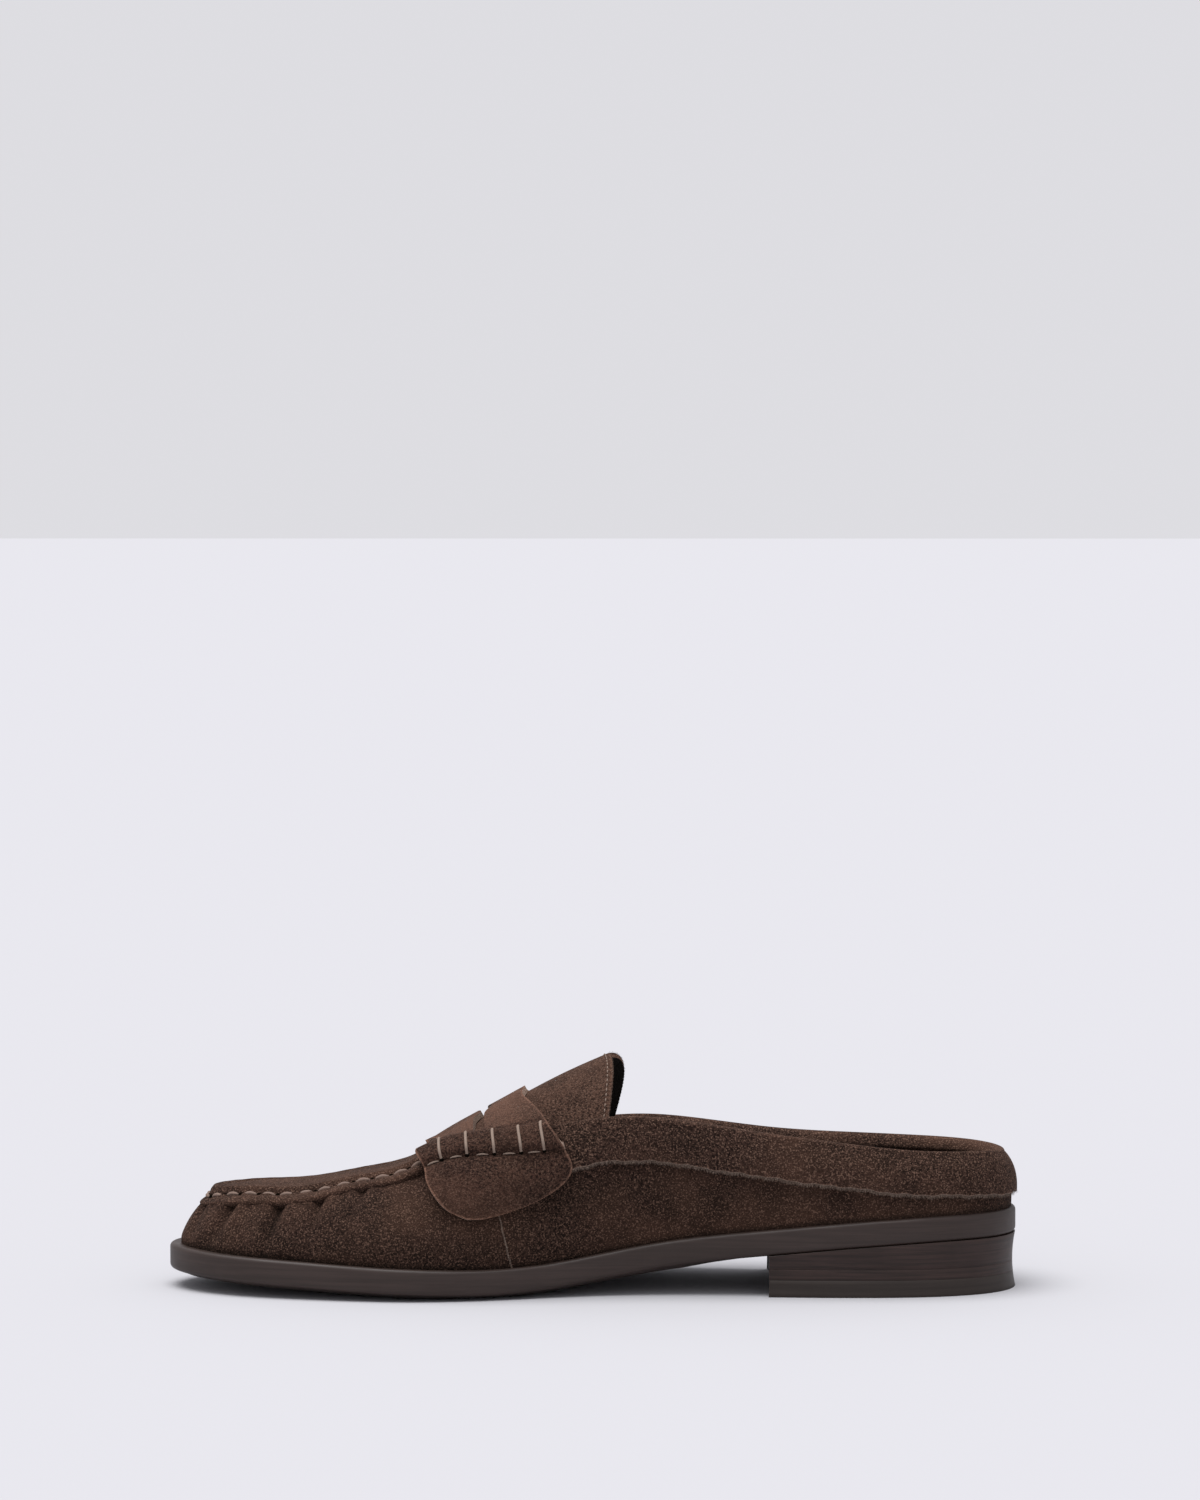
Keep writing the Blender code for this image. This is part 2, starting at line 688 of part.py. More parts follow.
def make_strap(collection):
    """The strap: two bands over the instep, joined by a wing on each side."""
    front_at = smooth_curve([row.level for row in STRAP_EDGES],
                            [row.front for row in STRAP_EDGES])
    rear_at = smooth_curve([row.level for row in STRAP_EDGES],
                           [row.rear for row in STRAP_EDGES])
    half_slot = 0.5 * SLOT_WIDTH / SOLE_LENGTH
    girths = [("medial", g) for g in reversed(STRAP_GIRTHS)]
    girths += [("lateral", g) for g in STRAP_GIRTHS[1:]]
    steps = (0.0, 0.33, 0.67, 1.0)
    points = []
    for side, girth in girths:
        front = float(front_at(girth.level))
        rear = float(rear_at(girth.level))
        middle = front + WING_DIVISION * (rear - front)
        if girth.level <= 1.0:
            middle = SLOT_ALONG
        ahead = [front + s * (middle + half_slot - front) for s in steps]
        behind = [middle - half_slot + s * (rear - middle + half_slot) for s in steps]
        for share, along in zip(STRAP_RELIEF, ahead + behind):
            points.append(strap_point(to_x(along), side, girth.level,
                                      ROLL_STEP * girth.stand * share))
    columns = 2 * len(steps)
    slot_cell = len(steps) - 1
    skip = {(r, slot_cell) for r in range(len(girths) - 1)
            if max(girths[r][1].level, girths[r + 1][1].level) <= SLOT_LEVEL}
    faces = grid_faces(len(girths), columns, skip=skip)
    piece = new_object("saddle_strap", points, faces, SUEDE_LIT, collection)
    thicken(piece, STRAP_THICKNESS)
    return piece


def make_collar_band(collection):
    """The folded band over the top edge, round the heel from wing to wing."""
    start = angle_of("medial", BAND_START)
    end = angle_of("lateral", BAND_START) - TURN
    angles = columns_between(start, end)
    behind_start = (BAND_START - top_along_at(angles)) * SOLE_LENGTH
    flare = np.clip(1.0 - behind_start / BAND_FLARE_LENGTH, 0.0, 1.0)
    width = BAND_WIDTH + BAND_FLARE * flare
    under = GAP + BAND_EASE
    outer = under + BAND_THICKNESS
    inner = WALL + under
    up = np.array((0.0, 0.0, 1.0))
    rows = [
        wall_skin(angles, width, under),
        wall_skin(angles, width, outer),
        wall_skin(angles, 0.65 * width, outer),
        wall_skin(angles, 0.35 * width, outer),
        wall_skin(angles, 0.10 * width, outer),
        wall_skin(angles, 0.0, 0.6 * outer) + up * (0.8 * outer),
        wall_skin(angles, 0.0, -0.5 * inner) + up * 1.1 * outer,
        wall_skin(angles, 0.0, -inner - 0.6 * BAND_THICKNESS) + up * (0.8 * outer),
        wall_skin(angles, 0.35 * BAND_INSIDE, -inner - BAND_THICKNESS),
        wall_skin(angles, BAND_INSIDE, -inner - BAND_THICKNESS),
        wall_skin(angles, BAND_INSIDE, -inner),
        wall_skin(angles, 0.0, -inner) + up * under,
        wall_skin(angles, 0.0, under) + up * under,
        wall_skin(angles, 0.35 * width, under),
        wall_skin(angles, 0.65 * width, under),
    ]
    columns = len(angles)
    points = [point for row in rows for point in row]
    faces = grid_faces(len(rows), columns)
    last = len(rows) - 1
    for c in range(columns - 1):
        faces.append((last * columns + c, last * columns + c + 1, c + 1, c))
    faces.append(tuple(r * columns for r in range(len(rows))))
    faces.append(tuple(r * columns + columns - 1 for r in reversed(range(len(rows)))))
    return new_object("collar_band", points, faces, SUEDE, collection)


def clear_scene():
    """Remove whatever the file holds at the start."""
    for piece in list(bpy.data.objects):
        bpy.data.objects.remove(piece, do_unlink=True)


def new_collection(name):
    """Add a collection to the scene."""
    collection = bpy.data.collections.new(name)
    bpy.context.scene.collection.children.link(collection)
    return collection


def main():
    clear_scene()
    shoe = new_collection("loafer_mule")
    cutters = new_collection("cutters")
    make_outsole(shoe)
    make_heel(shoe, cutters)
    make_insole(shoe)
    make_upper(shoe)
    make_plug(shoe)
    make_strap(shoe)
    make_collar_band(shoe)


main()
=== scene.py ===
# %% [markdown]
# # A suede loafer mule
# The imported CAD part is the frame. Its nodes give the places, and the large
# pieces below stand for them with finer surfaces; lining, thread and frayed
# edges are added to them. The toe points to -X, the medial side faces -Y and
# the floor is at zero.

import math
from collections import namedtuple

import bmesh
import bpy
import numpy as np
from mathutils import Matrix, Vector


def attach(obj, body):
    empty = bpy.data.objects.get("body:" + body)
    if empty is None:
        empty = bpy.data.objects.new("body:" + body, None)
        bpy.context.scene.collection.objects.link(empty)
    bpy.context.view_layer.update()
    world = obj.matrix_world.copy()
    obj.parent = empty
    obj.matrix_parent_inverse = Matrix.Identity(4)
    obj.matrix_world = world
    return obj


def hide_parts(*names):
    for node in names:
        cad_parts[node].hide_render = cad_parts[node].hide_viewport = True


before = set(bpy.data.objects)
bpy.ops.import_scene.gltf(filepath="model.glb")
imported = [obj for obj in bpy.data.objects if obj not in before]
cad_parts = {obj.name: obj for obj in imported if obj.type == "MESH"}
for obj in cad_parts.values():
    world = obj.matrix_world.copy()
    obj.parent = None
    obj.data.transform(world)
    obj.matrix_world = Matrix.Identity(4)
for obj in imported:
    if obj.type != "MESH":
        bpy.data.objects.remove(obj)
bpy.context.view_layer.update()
print("CAD nodes:", sorted(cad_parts))

# %% [markdown]
# The sizes are the CAD part's own: the sole's length, the ball's width, the
# heel's pitch and the wall. Only the collar band is 0.2 mm thicker here, and
# the lip 1.2 mm wider. Lengths are in metres and angles in degrees.

# %% Sizes of the shoe
SOLE_LENGTH = 0.265
BALL_WIDTH = 0.088
EDGE_THICKNESS = 0.0080
CAMBER = 0.0016
HEEL_PITCH = 0.0156
TOE_SPRING = 0.0039
EDGE_ROUNDING = 0.0013
TREAD_MARGIN = 0.0080
FLOOR_WEAR = 0.0003
BREAST_ALONG = 0.293
BREAST_HOLLOW = 0.0020
TOP_LIFT = 0.0052
LOWER_LIFT = 0.0033
HEEL_INSET = 0.0004
HEEL_WAIST = 0.0009
LIFT_BEVEL = 0.00006
INSTEP_RISE = 0.059
SHOULDER_OUT = 0.5
SHOULDER_DROP = 0.18
WEAR_RUN = 0.10
WALL_SAMPLES = 41
LEDGE = 0.0022
BELLY = 0.0042
WALL = 0.0018
INSOLE_THICKNESS = 0.0025
INSOLE_CLEARANCE = 0.0010
PLUG_THICKNESS = 0.0016
TONGUE_DEPTH = 0.0055
TONGUE_CLEARANCE = 0.0032
BAND_WIDTH = 0.0120
BAND_FLARE = 0.0035
BAND_FLARE_LENGTH = 0.018
BAND_INSIDE = 0.0035
BAND_THICKNESS = 0.0014
STRAP_THICKNESS = 0.0018
WING_DROP = 0.0262
SLOT_WIDTH = 0.0034
GAP = 0.0003
SEAT_GAP = 0.00045
PLUG_LIFT = PLUG_THICKNESS + GAP
MM = 0.001
TURN = 2.0 * math.pi
CUT_EDGE_ANGLE = 50.0
print("sole", SOLE_LENGTH, "ball", BALL_WIDTH)

# %% [markdown]
# The shoe's form is a table of sections around the outline. Each column of
# the table becomes one closed smooth curve of the angle around the shoe. The
# tables are the CAD's own, apart from the strap's edges at the wings: there the
# front edge lies up to 2.4 mm further back and the lower edge climbs towards
# the heel, because this follows the photograph better.

# %% Tables of the form
Level = namedtuple("Level", "along pitch spring")
SOLE_LEVELS = (
    Level(0.000, 1.000, 0.00),
    Level(0.060, 0.995, 0.00),
    Level(0.125, 0.950, 0.00),
    Level(0.210, 0.845, 0.00),
    Level(0.295, 0.705, 0.00),
    Level(0.372, 0.565, 0.00),
    Level(0.430, 0.420, 0.00),
    Level(0.489, 0.230, 0.00),
    Level(0.540, 0.085, 0.00),
    Level(0.600, 0.000, 0.00),
    Level(0.670, 0.000, 0.03),
    Level(0.770, 0.000, 0.30),
    Level(0.850, 0.000, 0.56),
    Level(0.930, 0.000, 0.78),
    Level(1.000, 0.000, 1.00),
)
Section = namedtuple(
    "Section",
    "side along across ledge belly knee shoulder top_along top_across rise",
)
SECTIONS = (
    Section("medial", 0.000, -0.01, 0.60, 0.10, 0.40, 0.60, 0.0185, -0.010, 0.268),
    Section("medial", 0.040, -0.47, 0.55, 0.20, 0.40, 0.60, 0.045, -0.400, 0.292),
    Section("medial", 0.125, -0.66, 0.60, 0.35, 0.40, 0.60, 0.125, -0.590, 0.324),
    Section("medial", 0.240, -0.69, 0.75, 0.50, 0.40, 0.60, 0.240, -0.636, 0.425),
    Section("medial", 0.340, -0.66, 0.85, 0.70, 0.40, 0.60, 0.340, -0.643, 0.534),
    Section("medial", 0.430, -0.65, 0.90, 0.85, 0.40, 0.60, 0.430, -0.643, 0.641),
    Section("medial", 0.500, -0.70, 0.95, 0.90, 0.40, 0.65, 0.500, -0.625, 0.688),
    Section("medial", 0.555, -0.79, 1.00, 0.90, 0.40, 0.70, 0.555, -0.586, 0.669),
    Section("medial", 0.610, -0.90, 1.00, 0.85, 0.40, 0.78, 0.610, -0.573, 0.629),
    Section("medial", 0.670, -0.98, 1.00, 0.80, 0.40, 0.80, 0.670, -0.568, 0.567),
    Section("medial", 0.720, -1.00, 1.00, 0.70, 0.40, 0.78, 0.720, -0.568, 0.451),
    Section("medial", 0.770, -0.97, 1.00, 0.60, 0.40, 0.72, 0.770, -0.552, 0.390),
    Section("medial", 0.830, -0.90, 1.05, 0.50, 0.36, 0.64, 0.830, -0.530, 0.314),
    Section("medial", 0.900, -0.780, 1.15, 0.30, 0.30, 0.50, 0.898, -0.440, 0.285),
    Section("medial", 0.955, -0.595, 1.35, 0.10, 0.26, 0.40, 0.938, -0.310, 0.258),
    Section("medial", 1.000, -0.13, 1.60, 0.00, 0.25, 0.35, 0.952, -0.115, 0.240),
    Section("lateral", 0.955, 0.36, 1.35, 0.10, 0.26, 0.40, 0.938, 0.095, 0.250),
    Section("lateral", 0.900, 0.58, 1.15, 0.30, 0.30, 0.50, 0.898, 0.255, 0.262),
    Section("lateral", 0.830, 0.76, 1.05, 0.50, 0.36, 0.64, 0.830, 0.420, 0.276),
    Section("lateral", 0.770, 0.87, 1.00, 0.60, 0.40, 0.72, 0.770, 0.505, 0.335),
    Section("lateral", 0.720, 0.95, 1.00, 0.70, 0.40, 0.78, 0.720, 0.550, 0.393),
    Section("lateral", 0.660, 0.998, 1.10, 0.65, 0.40, 0.80, 0.662, 0.580, 0.515),
    Section("lateral", 0.600, 0.995, 1.15, 0.60, 0.40, 0.78, 0.600, 0.592, 0.568),
    Section("lateral", 0.540, 0.94, 1.10, 0.70, 0.40, 0.70, 0.545, 0.603, 0.590),
    Section("lateral", 0.470, 0.86, 0.95, 0.90, 0.40, 0.65, 0.470, 0.612, 0.572),
    Section("lateral", 0.380, 0.77, 0.85, 0.80, 0.40, 0.60, 0.380, 0.614, 0.490),
    Section("lateral", 0.285, 0.71, 0.80, 0.60, 0.40, 0.60, 0.285, 0.608, 0.395),
    Section("lateral", 0.190, 0.69, 0.70, 0.45, 0.40, 0.60, 0.190, 0.595, 0.331),
    Section("lateral", 0.110, 0.63, 0.60, 0.35, 0.40, 0.60, 0.112, 0.545, 0.297),
    Section("lateral", 0.040, 0.45, 0.55, 0.20, 0.40, 0.60, 0.045, 0.380, 0.278),
)
Crown = namedtuple("Crown", "along across rise")
CROWN_LINE = (
    Crown(0.923, -0.110, 0.318),
    Crown(0.892, -0.080, 0.336),
    Crown(0.843, -0.030, 0.354),
    Crown(0.787, 0.000, 0.398),
    Crown(0.730, 0.020, 0.462),
    Crown(0.700, 0.030, 0.523),
    Crown(0.670, 0.035, 0.612),
    Crown(0.632, 0.045, 0.717),
    Crown(0.575, 0.045, 0.854),
    Crown(0.530, 0.045, 0.937),
    Crown(0.482, 0.045, 0.995),
)
ARCH_ROUNDNESS = 2.2
BAND_START = 0.548
Edge = namedtuple("Edge", "level front rear")
STRAP_EDGES = (
    Edge(0.00, 0.685, 0.582),
    Edge(0.50, 0.690, 0.572),
    Edge(0.90, 0.692, 0.551),
    Edge(1.10, 0.6935, 0.539),
    Edge(1.30, 0.688, 0.528),
    Edge(1.50, 0.686, 0.522),
    Edge(1.68, 0.679, 0.536),
    Edge(1.82, 0.670, 0.564),
    Edge(1.93, 0.657, 0.598),
    Edge(2.00, 0.642, 0.624),
)
print(len(SECTIONS), "sections,", len(CROWN_LINE), "crown points")


# %% Curves through the tables
def smooth_curve(nodes, values):
    """Return a function: the natural cubic spline through the given values."""
    nodes = np.asarray(nodes, float)
    values = np.asarray(values, float)
    count = len(nodes)
    gap = np.diff(nodes)
    system = np.eye(count)
    turn = np.zeros(count)
    for i in range(1, count - 1):
        system[i, i - 1:i + 2] = gap[i - 1], 2.0 * (gap[i - 1] + gap[i]), gap[i]
        rise_after = (values[i + 1] - values[i]) / gap[i]
        rise_before = (values[i] - values[i - 1]) / gap[i - 1]
        turn[i] = 6.0 * (rise_after - rise_before)
    bend = np.linalg.solve(system, turn)

    def at(place):
        place = np.asarray(place, float)
        k = np.clip(np.searchsorted(nodes, place) - 1, 0, count - 2)
        ahead = nodes[k + 1] - place
        behind = place - nodes[k]
        curved = (bend[k] * ahead ** 3 + bend[k + 1] * behind ** 3) / (6.0 * gap[k])
        left = (values[k] / gap[k] - bend[k] * gap[k] / 6.0) * ahead
        right = (values[k + 1] / gap[k] - bend[k + 1] * gap[k] / 6.0) * behind
        return curved + left + right

    return at


def closed_curve(nodes, values):
    """Return the same kind of curve around the shoe, with no start or end."""
    nodes = np.asarray(nodes, float)
    lap_nodes = np.concatenate((nodes - TURN, nodes, nodes + TURN))
    open_curve = smooth_curve(lap_nodes, np.tile(np.asarray(values, float), 3))
    return lambda angle: open_curve(np.mod(angle, TURN))


def angle_of(side, along):
    """Angle around the shoe of a place on one side of the sole's outline."""
    half_turn = np.arccos(1.0 - 2.0 * np.asarray(along, float))
    return half_turn if side == "medial" else TURN - half_turn


SECTION_ANGLES = [float(angle_of(row.side, row.along)) for row in SECTIONS]


def column(name):
    """The curve around the shoe of one column of the section table."""
    return closed_curve(SECTION_ANGLES, [getattr(row, name) for row in SECTIONS])


across_at = column("across")
ledge_at = column("ledge")
belly_at = column("belly")
knee_at = column("knee")
shoulder_at = column("shoulder")
top_along_at = column("top_along")
top_across_at = column("top_across")
rise_at = column("rise")
level_places = [-row.along for row in reversed(SOLE_LEVELS)]
pitch_at = smooth_curve(level_places, [row.pitch for row in reversed(SOLE_LEVELS)])
spring_at = smooth_curve(level_places, [row.spring for row in reversed(SOLE_LEVELS)])
crown_places = [-row.along for row in CROWN_LINE]
crown_across_at = smooth_curve(crown_places, [row.across for row in CROWN_LINE])
crown_rise_at = smooth_curve(crown_places, [row.rise for row in CROWN_LINE])
print("curves ready")


# %% [markdown]
# The sole's outline and the wall over it. A place on the wall is an angle
# around the shoe and a drop, the distance below the wall's top line.

# %% The sole and the wall as functions
def to_x(along):
    """Position along the shoe of a share from the heel."""
    return (0.5 - along) * SOLE_LENGTH


def to_y(across):
    """Position across the shoe of a share of half the ball's width."""
    return 0.5 * BALL_WIDTH * across


def to_along(x):
    """Share from the heel of a position along the shoe."""
    return np.clip(0.5 - x / SOLE_LENGTH, 0.0, 1.0)


def sole_top(x):
    """Height of the sole's upper edge."""
    along = to_along(x)
    lift = HEEL_PITCH * pitch_at(-along) + TOE_SPRING * spring_at(-along)
    return EDGE_THICKNESS + CAMBER + lift


def tread(x):
    """Height of the tread, worn flat where it meets the floor."""
    ahead = np.clip((to_along(x) - BREAST_ALONG) / WEAR_RUN, 0.0, 1.0)
    return np.maximum(0.0, sole_top(x) - EDGE_THICKNESS - (CAMBER + FLOOR_WEAR) * ahead)


def outline(angle, inset=0.0):
    """Plan point of the sole's outline moved inward, and the outward direction."""
    angle = np.asarray(angle, float)
    step = 0.001
    x = 0.5 * SOLE_LENGTH * np.cos(angle)
    y = to_y(across_at(angle))
    run_x = -SOLE_LENGTH * np.sin(angle) * step
    run_y = to_y(across_at(angle + step) - across_at(angle - step))
    size = np.hypot(run_x, run_y)
    out_x = -run_y / size
    out_y = run_x / size
    return x - inset * out_x, y - inset * out_y, out_x, out_y


def wall_controls(angle):
    """Four control points of the wall's outer section at each angle."""
    foot_x, foot_y, out_x, out_y = outline(angle, LEDGE * ledge_at(angle))
    foot_z = sole_top(foot_x) + SEAT_GAP
    top_x = to_x(top_along_at(angle))
    top_y = to_y(top_across_at(angle))
    top_z = sole_top(top_x) + INSTEP_RISE * rise_at(angle)
    height = top_z - foot_z
    out = BELLY * belly_at(angle)
    lean = shoulder_at(angle)
    foot = np.stack((foot_x, foot_y, foot_z), axis=-1)
    knee = np.stack((foot_x + out * out_x, foot_y + out * out_y,
                     foot_z + knee_at(angle) * height), axis=-1)
    shoulder = np.stack((top_x + lean * (foot_x - top_x) + SHOULDER_OUT * out * out_x,
                         top_y + lean * (foot_y - top_y) + SHOULDER_OUT * out * out_y,
                         top_z - SHOULDER_DROP * height), axis=-1)
    top = np.stack((top_x, top_y, top_z), axis=-1)
    return foot, knee, shoulder, top


def wall_samples(angle):
    """Points down the wall's section at each angle, and their drops."""
    foot, knee, shoulder, top = wall_controls(angle)
    t = np.linspace(0.0, 1.0, WALL_SAMPLES).reshape(-1, 1, 1)
    lines = ((1 - t) ** 3 * top + 3 * (1 - t) ** 2 * t * shoulder
             + 3 * (1 - t) * t ** 2 * knee + t ** 3 * foot)
    steps = np.linalg.norm(np.diff(lines, axis=0), axis=-1)
    below = np.concatenate((np.zeros((1, steps.shape[1])), np.cumsum(steps, axis=0)))
    return lines, below


def wall_at(angle, drop):
    """Points of the wall's outer side, for arrays of angles and drops."""
    angle, drop = np.broadcast_arrays(np.asarray(angle, float), np.asarray(drop, float))
    shape = angle.shape
    angle, drop = angle.ravel(), drop.ravel()
    lines, below = wall_samples(angle)
    low = np.clip((below <= drop).sum(axis=0) - 1, 0, len(below) - 2)
    here = np.arange(len(angle))
    start, end = below[low, here], below[low + 1, here]
    share = ((drop - start) / np.maximum(end - start, 1e-9))[:, None]
    points = lines[low, here] * (1.0 - share) + lines[low + 1, here] * share
    return points.reshape(shape + (3,))


def wall_length(angle):
    """Length of the wall's section from the top line to the feather edge."""
    angle = np.asarray(angle, float)
    return wall_samples(angle.ravel())[1][-1].reshape(angle.shape)


print("wall 10 mm below the top line at the ball:",
      wall_at(np.array([angle_of("medial", 0.67)]), 0.010).round(4))

# %% [markdown]
# The arch closes the shoe over the toes and the instep. It starts at the
# wall's top line and climbs to the crown line. The seam grid walks down the
# arch and on down the wall, so that beads and lips can cross the top line.


# %% The arch and the walk across the seam
def crown_point(x):
    """Point of the crown line level with a place along the shoe."""
    x = np.clip(x, to_x(CROWN_LINE[0].along), to_x(CROWN_LINE[-1].along))
    along = to_along(x)
    y = to_y(crown_across_at(-along))
    z = sole_top(x) + INSTEP_RISE * crown_rise_at(-along)
    return np.stack((x, y, z), axis=-1)


def arch_ends(angle):
    """The arch's base on the wall's top line, and its crown, one skin below."""
    top = wall_controls(angle)[3]
    crown = crown_point(0.5 * SOLE_LENGTH * np.cos(angle))
    crown[..., 2] -= PLUG_LIFT
    return top, crown


def arch_at(angle, share, inward=0.0, downward=0.0):
    """Points of the arch; its base may move in beside the wall and down."""
    angle, share = np.broadcast_arrays(np.asarray(angle, float), np.asarray(share, float))
    top, crown = arch_ends(angle)
    flat = (crown - top) * np.array((1.0, 1.0, 0.0))
    flat = flat / np.maximum(np.linalg.norm(flat, axis=-1, keepdims=True), 1e-9)
    base = top + flat * np.asarray(inward)[..., None]
    base = base - np.array((0.0, 0.0, 1.0)) * np.asarray(downward)[..., None]
    points = base + share[..., None] * (crown - base)
    climb = 1.0 - (1.0 - share) ** ARCH_ROUNDNESS
    points[..., 2] = base[..., 2] + climb * (crown[..., 2] - base[..., 2])
    return points


def across_seam(angle, level):
    """Points at a girth level: 0 crown, 1 top line, then a share of the wing's drop."""
    angle, level = np.broadcast_arrays(np.asarray(angle, float), np.asarray(level, float))
    arch = arch_at(angle, np.clip(1.0 - level, 0.0, 1.0))
    wall = wall_at(angle, np.clip(level - 1.0, 0.0, None) * WING_DROP)
    return np.where((level < 1.0)[..., None], arch, wall)


def grid_normals(grid, wrap=False, blur=0):
    """Outward normals of a grid whose rows go down and columns go by angle."""
    if wrap:
        side = np.roll(grid, -1, axis=1) - np.roll(grid, 1, axis=1)
    else:
        side = np.gradient(grid, axis=1)
    down = np.gradient(grid, axis=0)
    normal = np.cross(side, down)
    size = np.linalg.norm(normal, axis=-1, keepdims=True)
    normal = normal / np.maximum(size, 1e-12)
    for _ in range(blur):
        padded = np.concatenate((normal[:1], normal, normal[-1:]), axis=0)
        normal = padded[:-2] + 2.0 * normal + padded[2:]
        normal = normal / np.maximum(np.linalg.norm(normal, axis=-1, keepdims=True), 1e-12)
    return normal


def ramp(place, start, end):
    """A soft step from 0 at the start to 1 at the end."""
    share = np.clip((place - start) / (end - start), 0.0, 1.0)
    return share * share * (3.0 - 2.0 * share)


print("crown over the instep:", crown_point(np.array([-0.02])).round(4))

# %% [markdown]
# Every form is one mesh made from a grid. It rides on the part, and the forms
# of the CAD stand for its nodes. Each point keeps a tone that is painted into
# the suede's colour: above 0 the nap is lighter, for painted highlights on lit
# tops and for raw cut edges; below 0 it is darker, for painted shade in grooves,
# creases and under folds.


# %% Meshes from grids
def grid_faces(rows, columns, wrap=False, skip=None):
    """Quads of a grid of points, leaving out the cells that skip names."""
    faces = []
    for r in range(rows - 1):
        for c in range(columns if wrap else columns - 1):
            if skip is not None and skip[r, c]:
                continue
            after = (c + 1) % columns
            faces.append((r * columns + c, r * columns + after,
                          (r + 1) * columns + after, (r + 1) * columns + c))
    return faces


def tube_faces(rows, columns):
    """Quads of a grid that closes both round the shoe and from last row to first."""
    last = (rows - 1) * columns
    closing = [(last + c, last + (c + 1) % columns, (c + 1) % columns, c)
               for c in range(columns)]
    return grid_faces(rows, columns, wrap=True) + closing


def new_piece(name, points, faces, materials, tone=None, weld=1e-6):
    """Weld the points into one smooth mesh object."""
    shape = bmesh.new()
    layer = shape.verts.layers.float.new("tone")
    flat = np.asarray(points, float).reshape(-1, 3)
    tones = np.zeros(len(flat)) if tone is None else np.asarray(tone, float).ravel()
    verts = []
    for place, value in zip(flat, tones):
        vert = shape.verts.new(place)
        vert[layer] = value
        verts.append(vert)
    for face in faces:
        corners = [verts[i] for i in face]
        if len(set(corners)) == len(corners):
            shape.faces.new(corners)
    bmesh.ops.remove_doubles(shape, verts=shape.verts, dist=weld)
    bmesh.ops.dissolve_degenerate(shape, edges=shape.edges, dist=weld)
    loose = [vert for vert in shape.verts if not vert.link_faces]
    bmesh.ops.delete(shape, geom=loose, context="VERTS")
    mesh = bpy.data.meshes.new(name)
    shape.to_mesh(mesh)
    shape.free()
    mesh.shade_smooth()
    piece = bpy.data.objects.new(name, mesh)
    bpy.context.scene.collection.objects.link(piece)
    for material in materials:
        mesh.materials.append(material)
    return piece


def settle(piece):
    """Turn the piece's modifiers into plain mesh."""
    graph = bpy.context.evaluated_depsgraph_get()
    mesh = bpy.data.meshes.new_from_object(piece.evaluated_get(graph))
    piece.modifiers.clear()
    piece.data = mesh
    return piece


def thicken(piece, thickness, inner=0, rim=0):
    """Give an open surface its thickness inward, with a sharp cut edge."""
    solid = piece.modifiers.new("thickness", "SOLIDIFY")
    solid.thickness = thickness
    solid.offset = -1.0
    solid.material_offset = inner
    solid.material_offset_rim = rim
    settle(piece)
    piece.data.set_sharp_from_angle(angle=math.radians(CUT_EDGE_ANGLE))
    return piece


def join_frame(piece, slot, *nodes):
    """Ride on the part and stand for CAD nodes; the slot is not used."""
    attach(piece, "root")
    if nodes:
        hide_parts(*nodes)
    print(piece.name, len(piece.data.polygons), "faces")
    return piece


# %% [markdown]
# Suede is a dark nap with lighter fibres standing in it, brushed lighter in
# soft patches. The sole and the heel are smooth and a little polished.


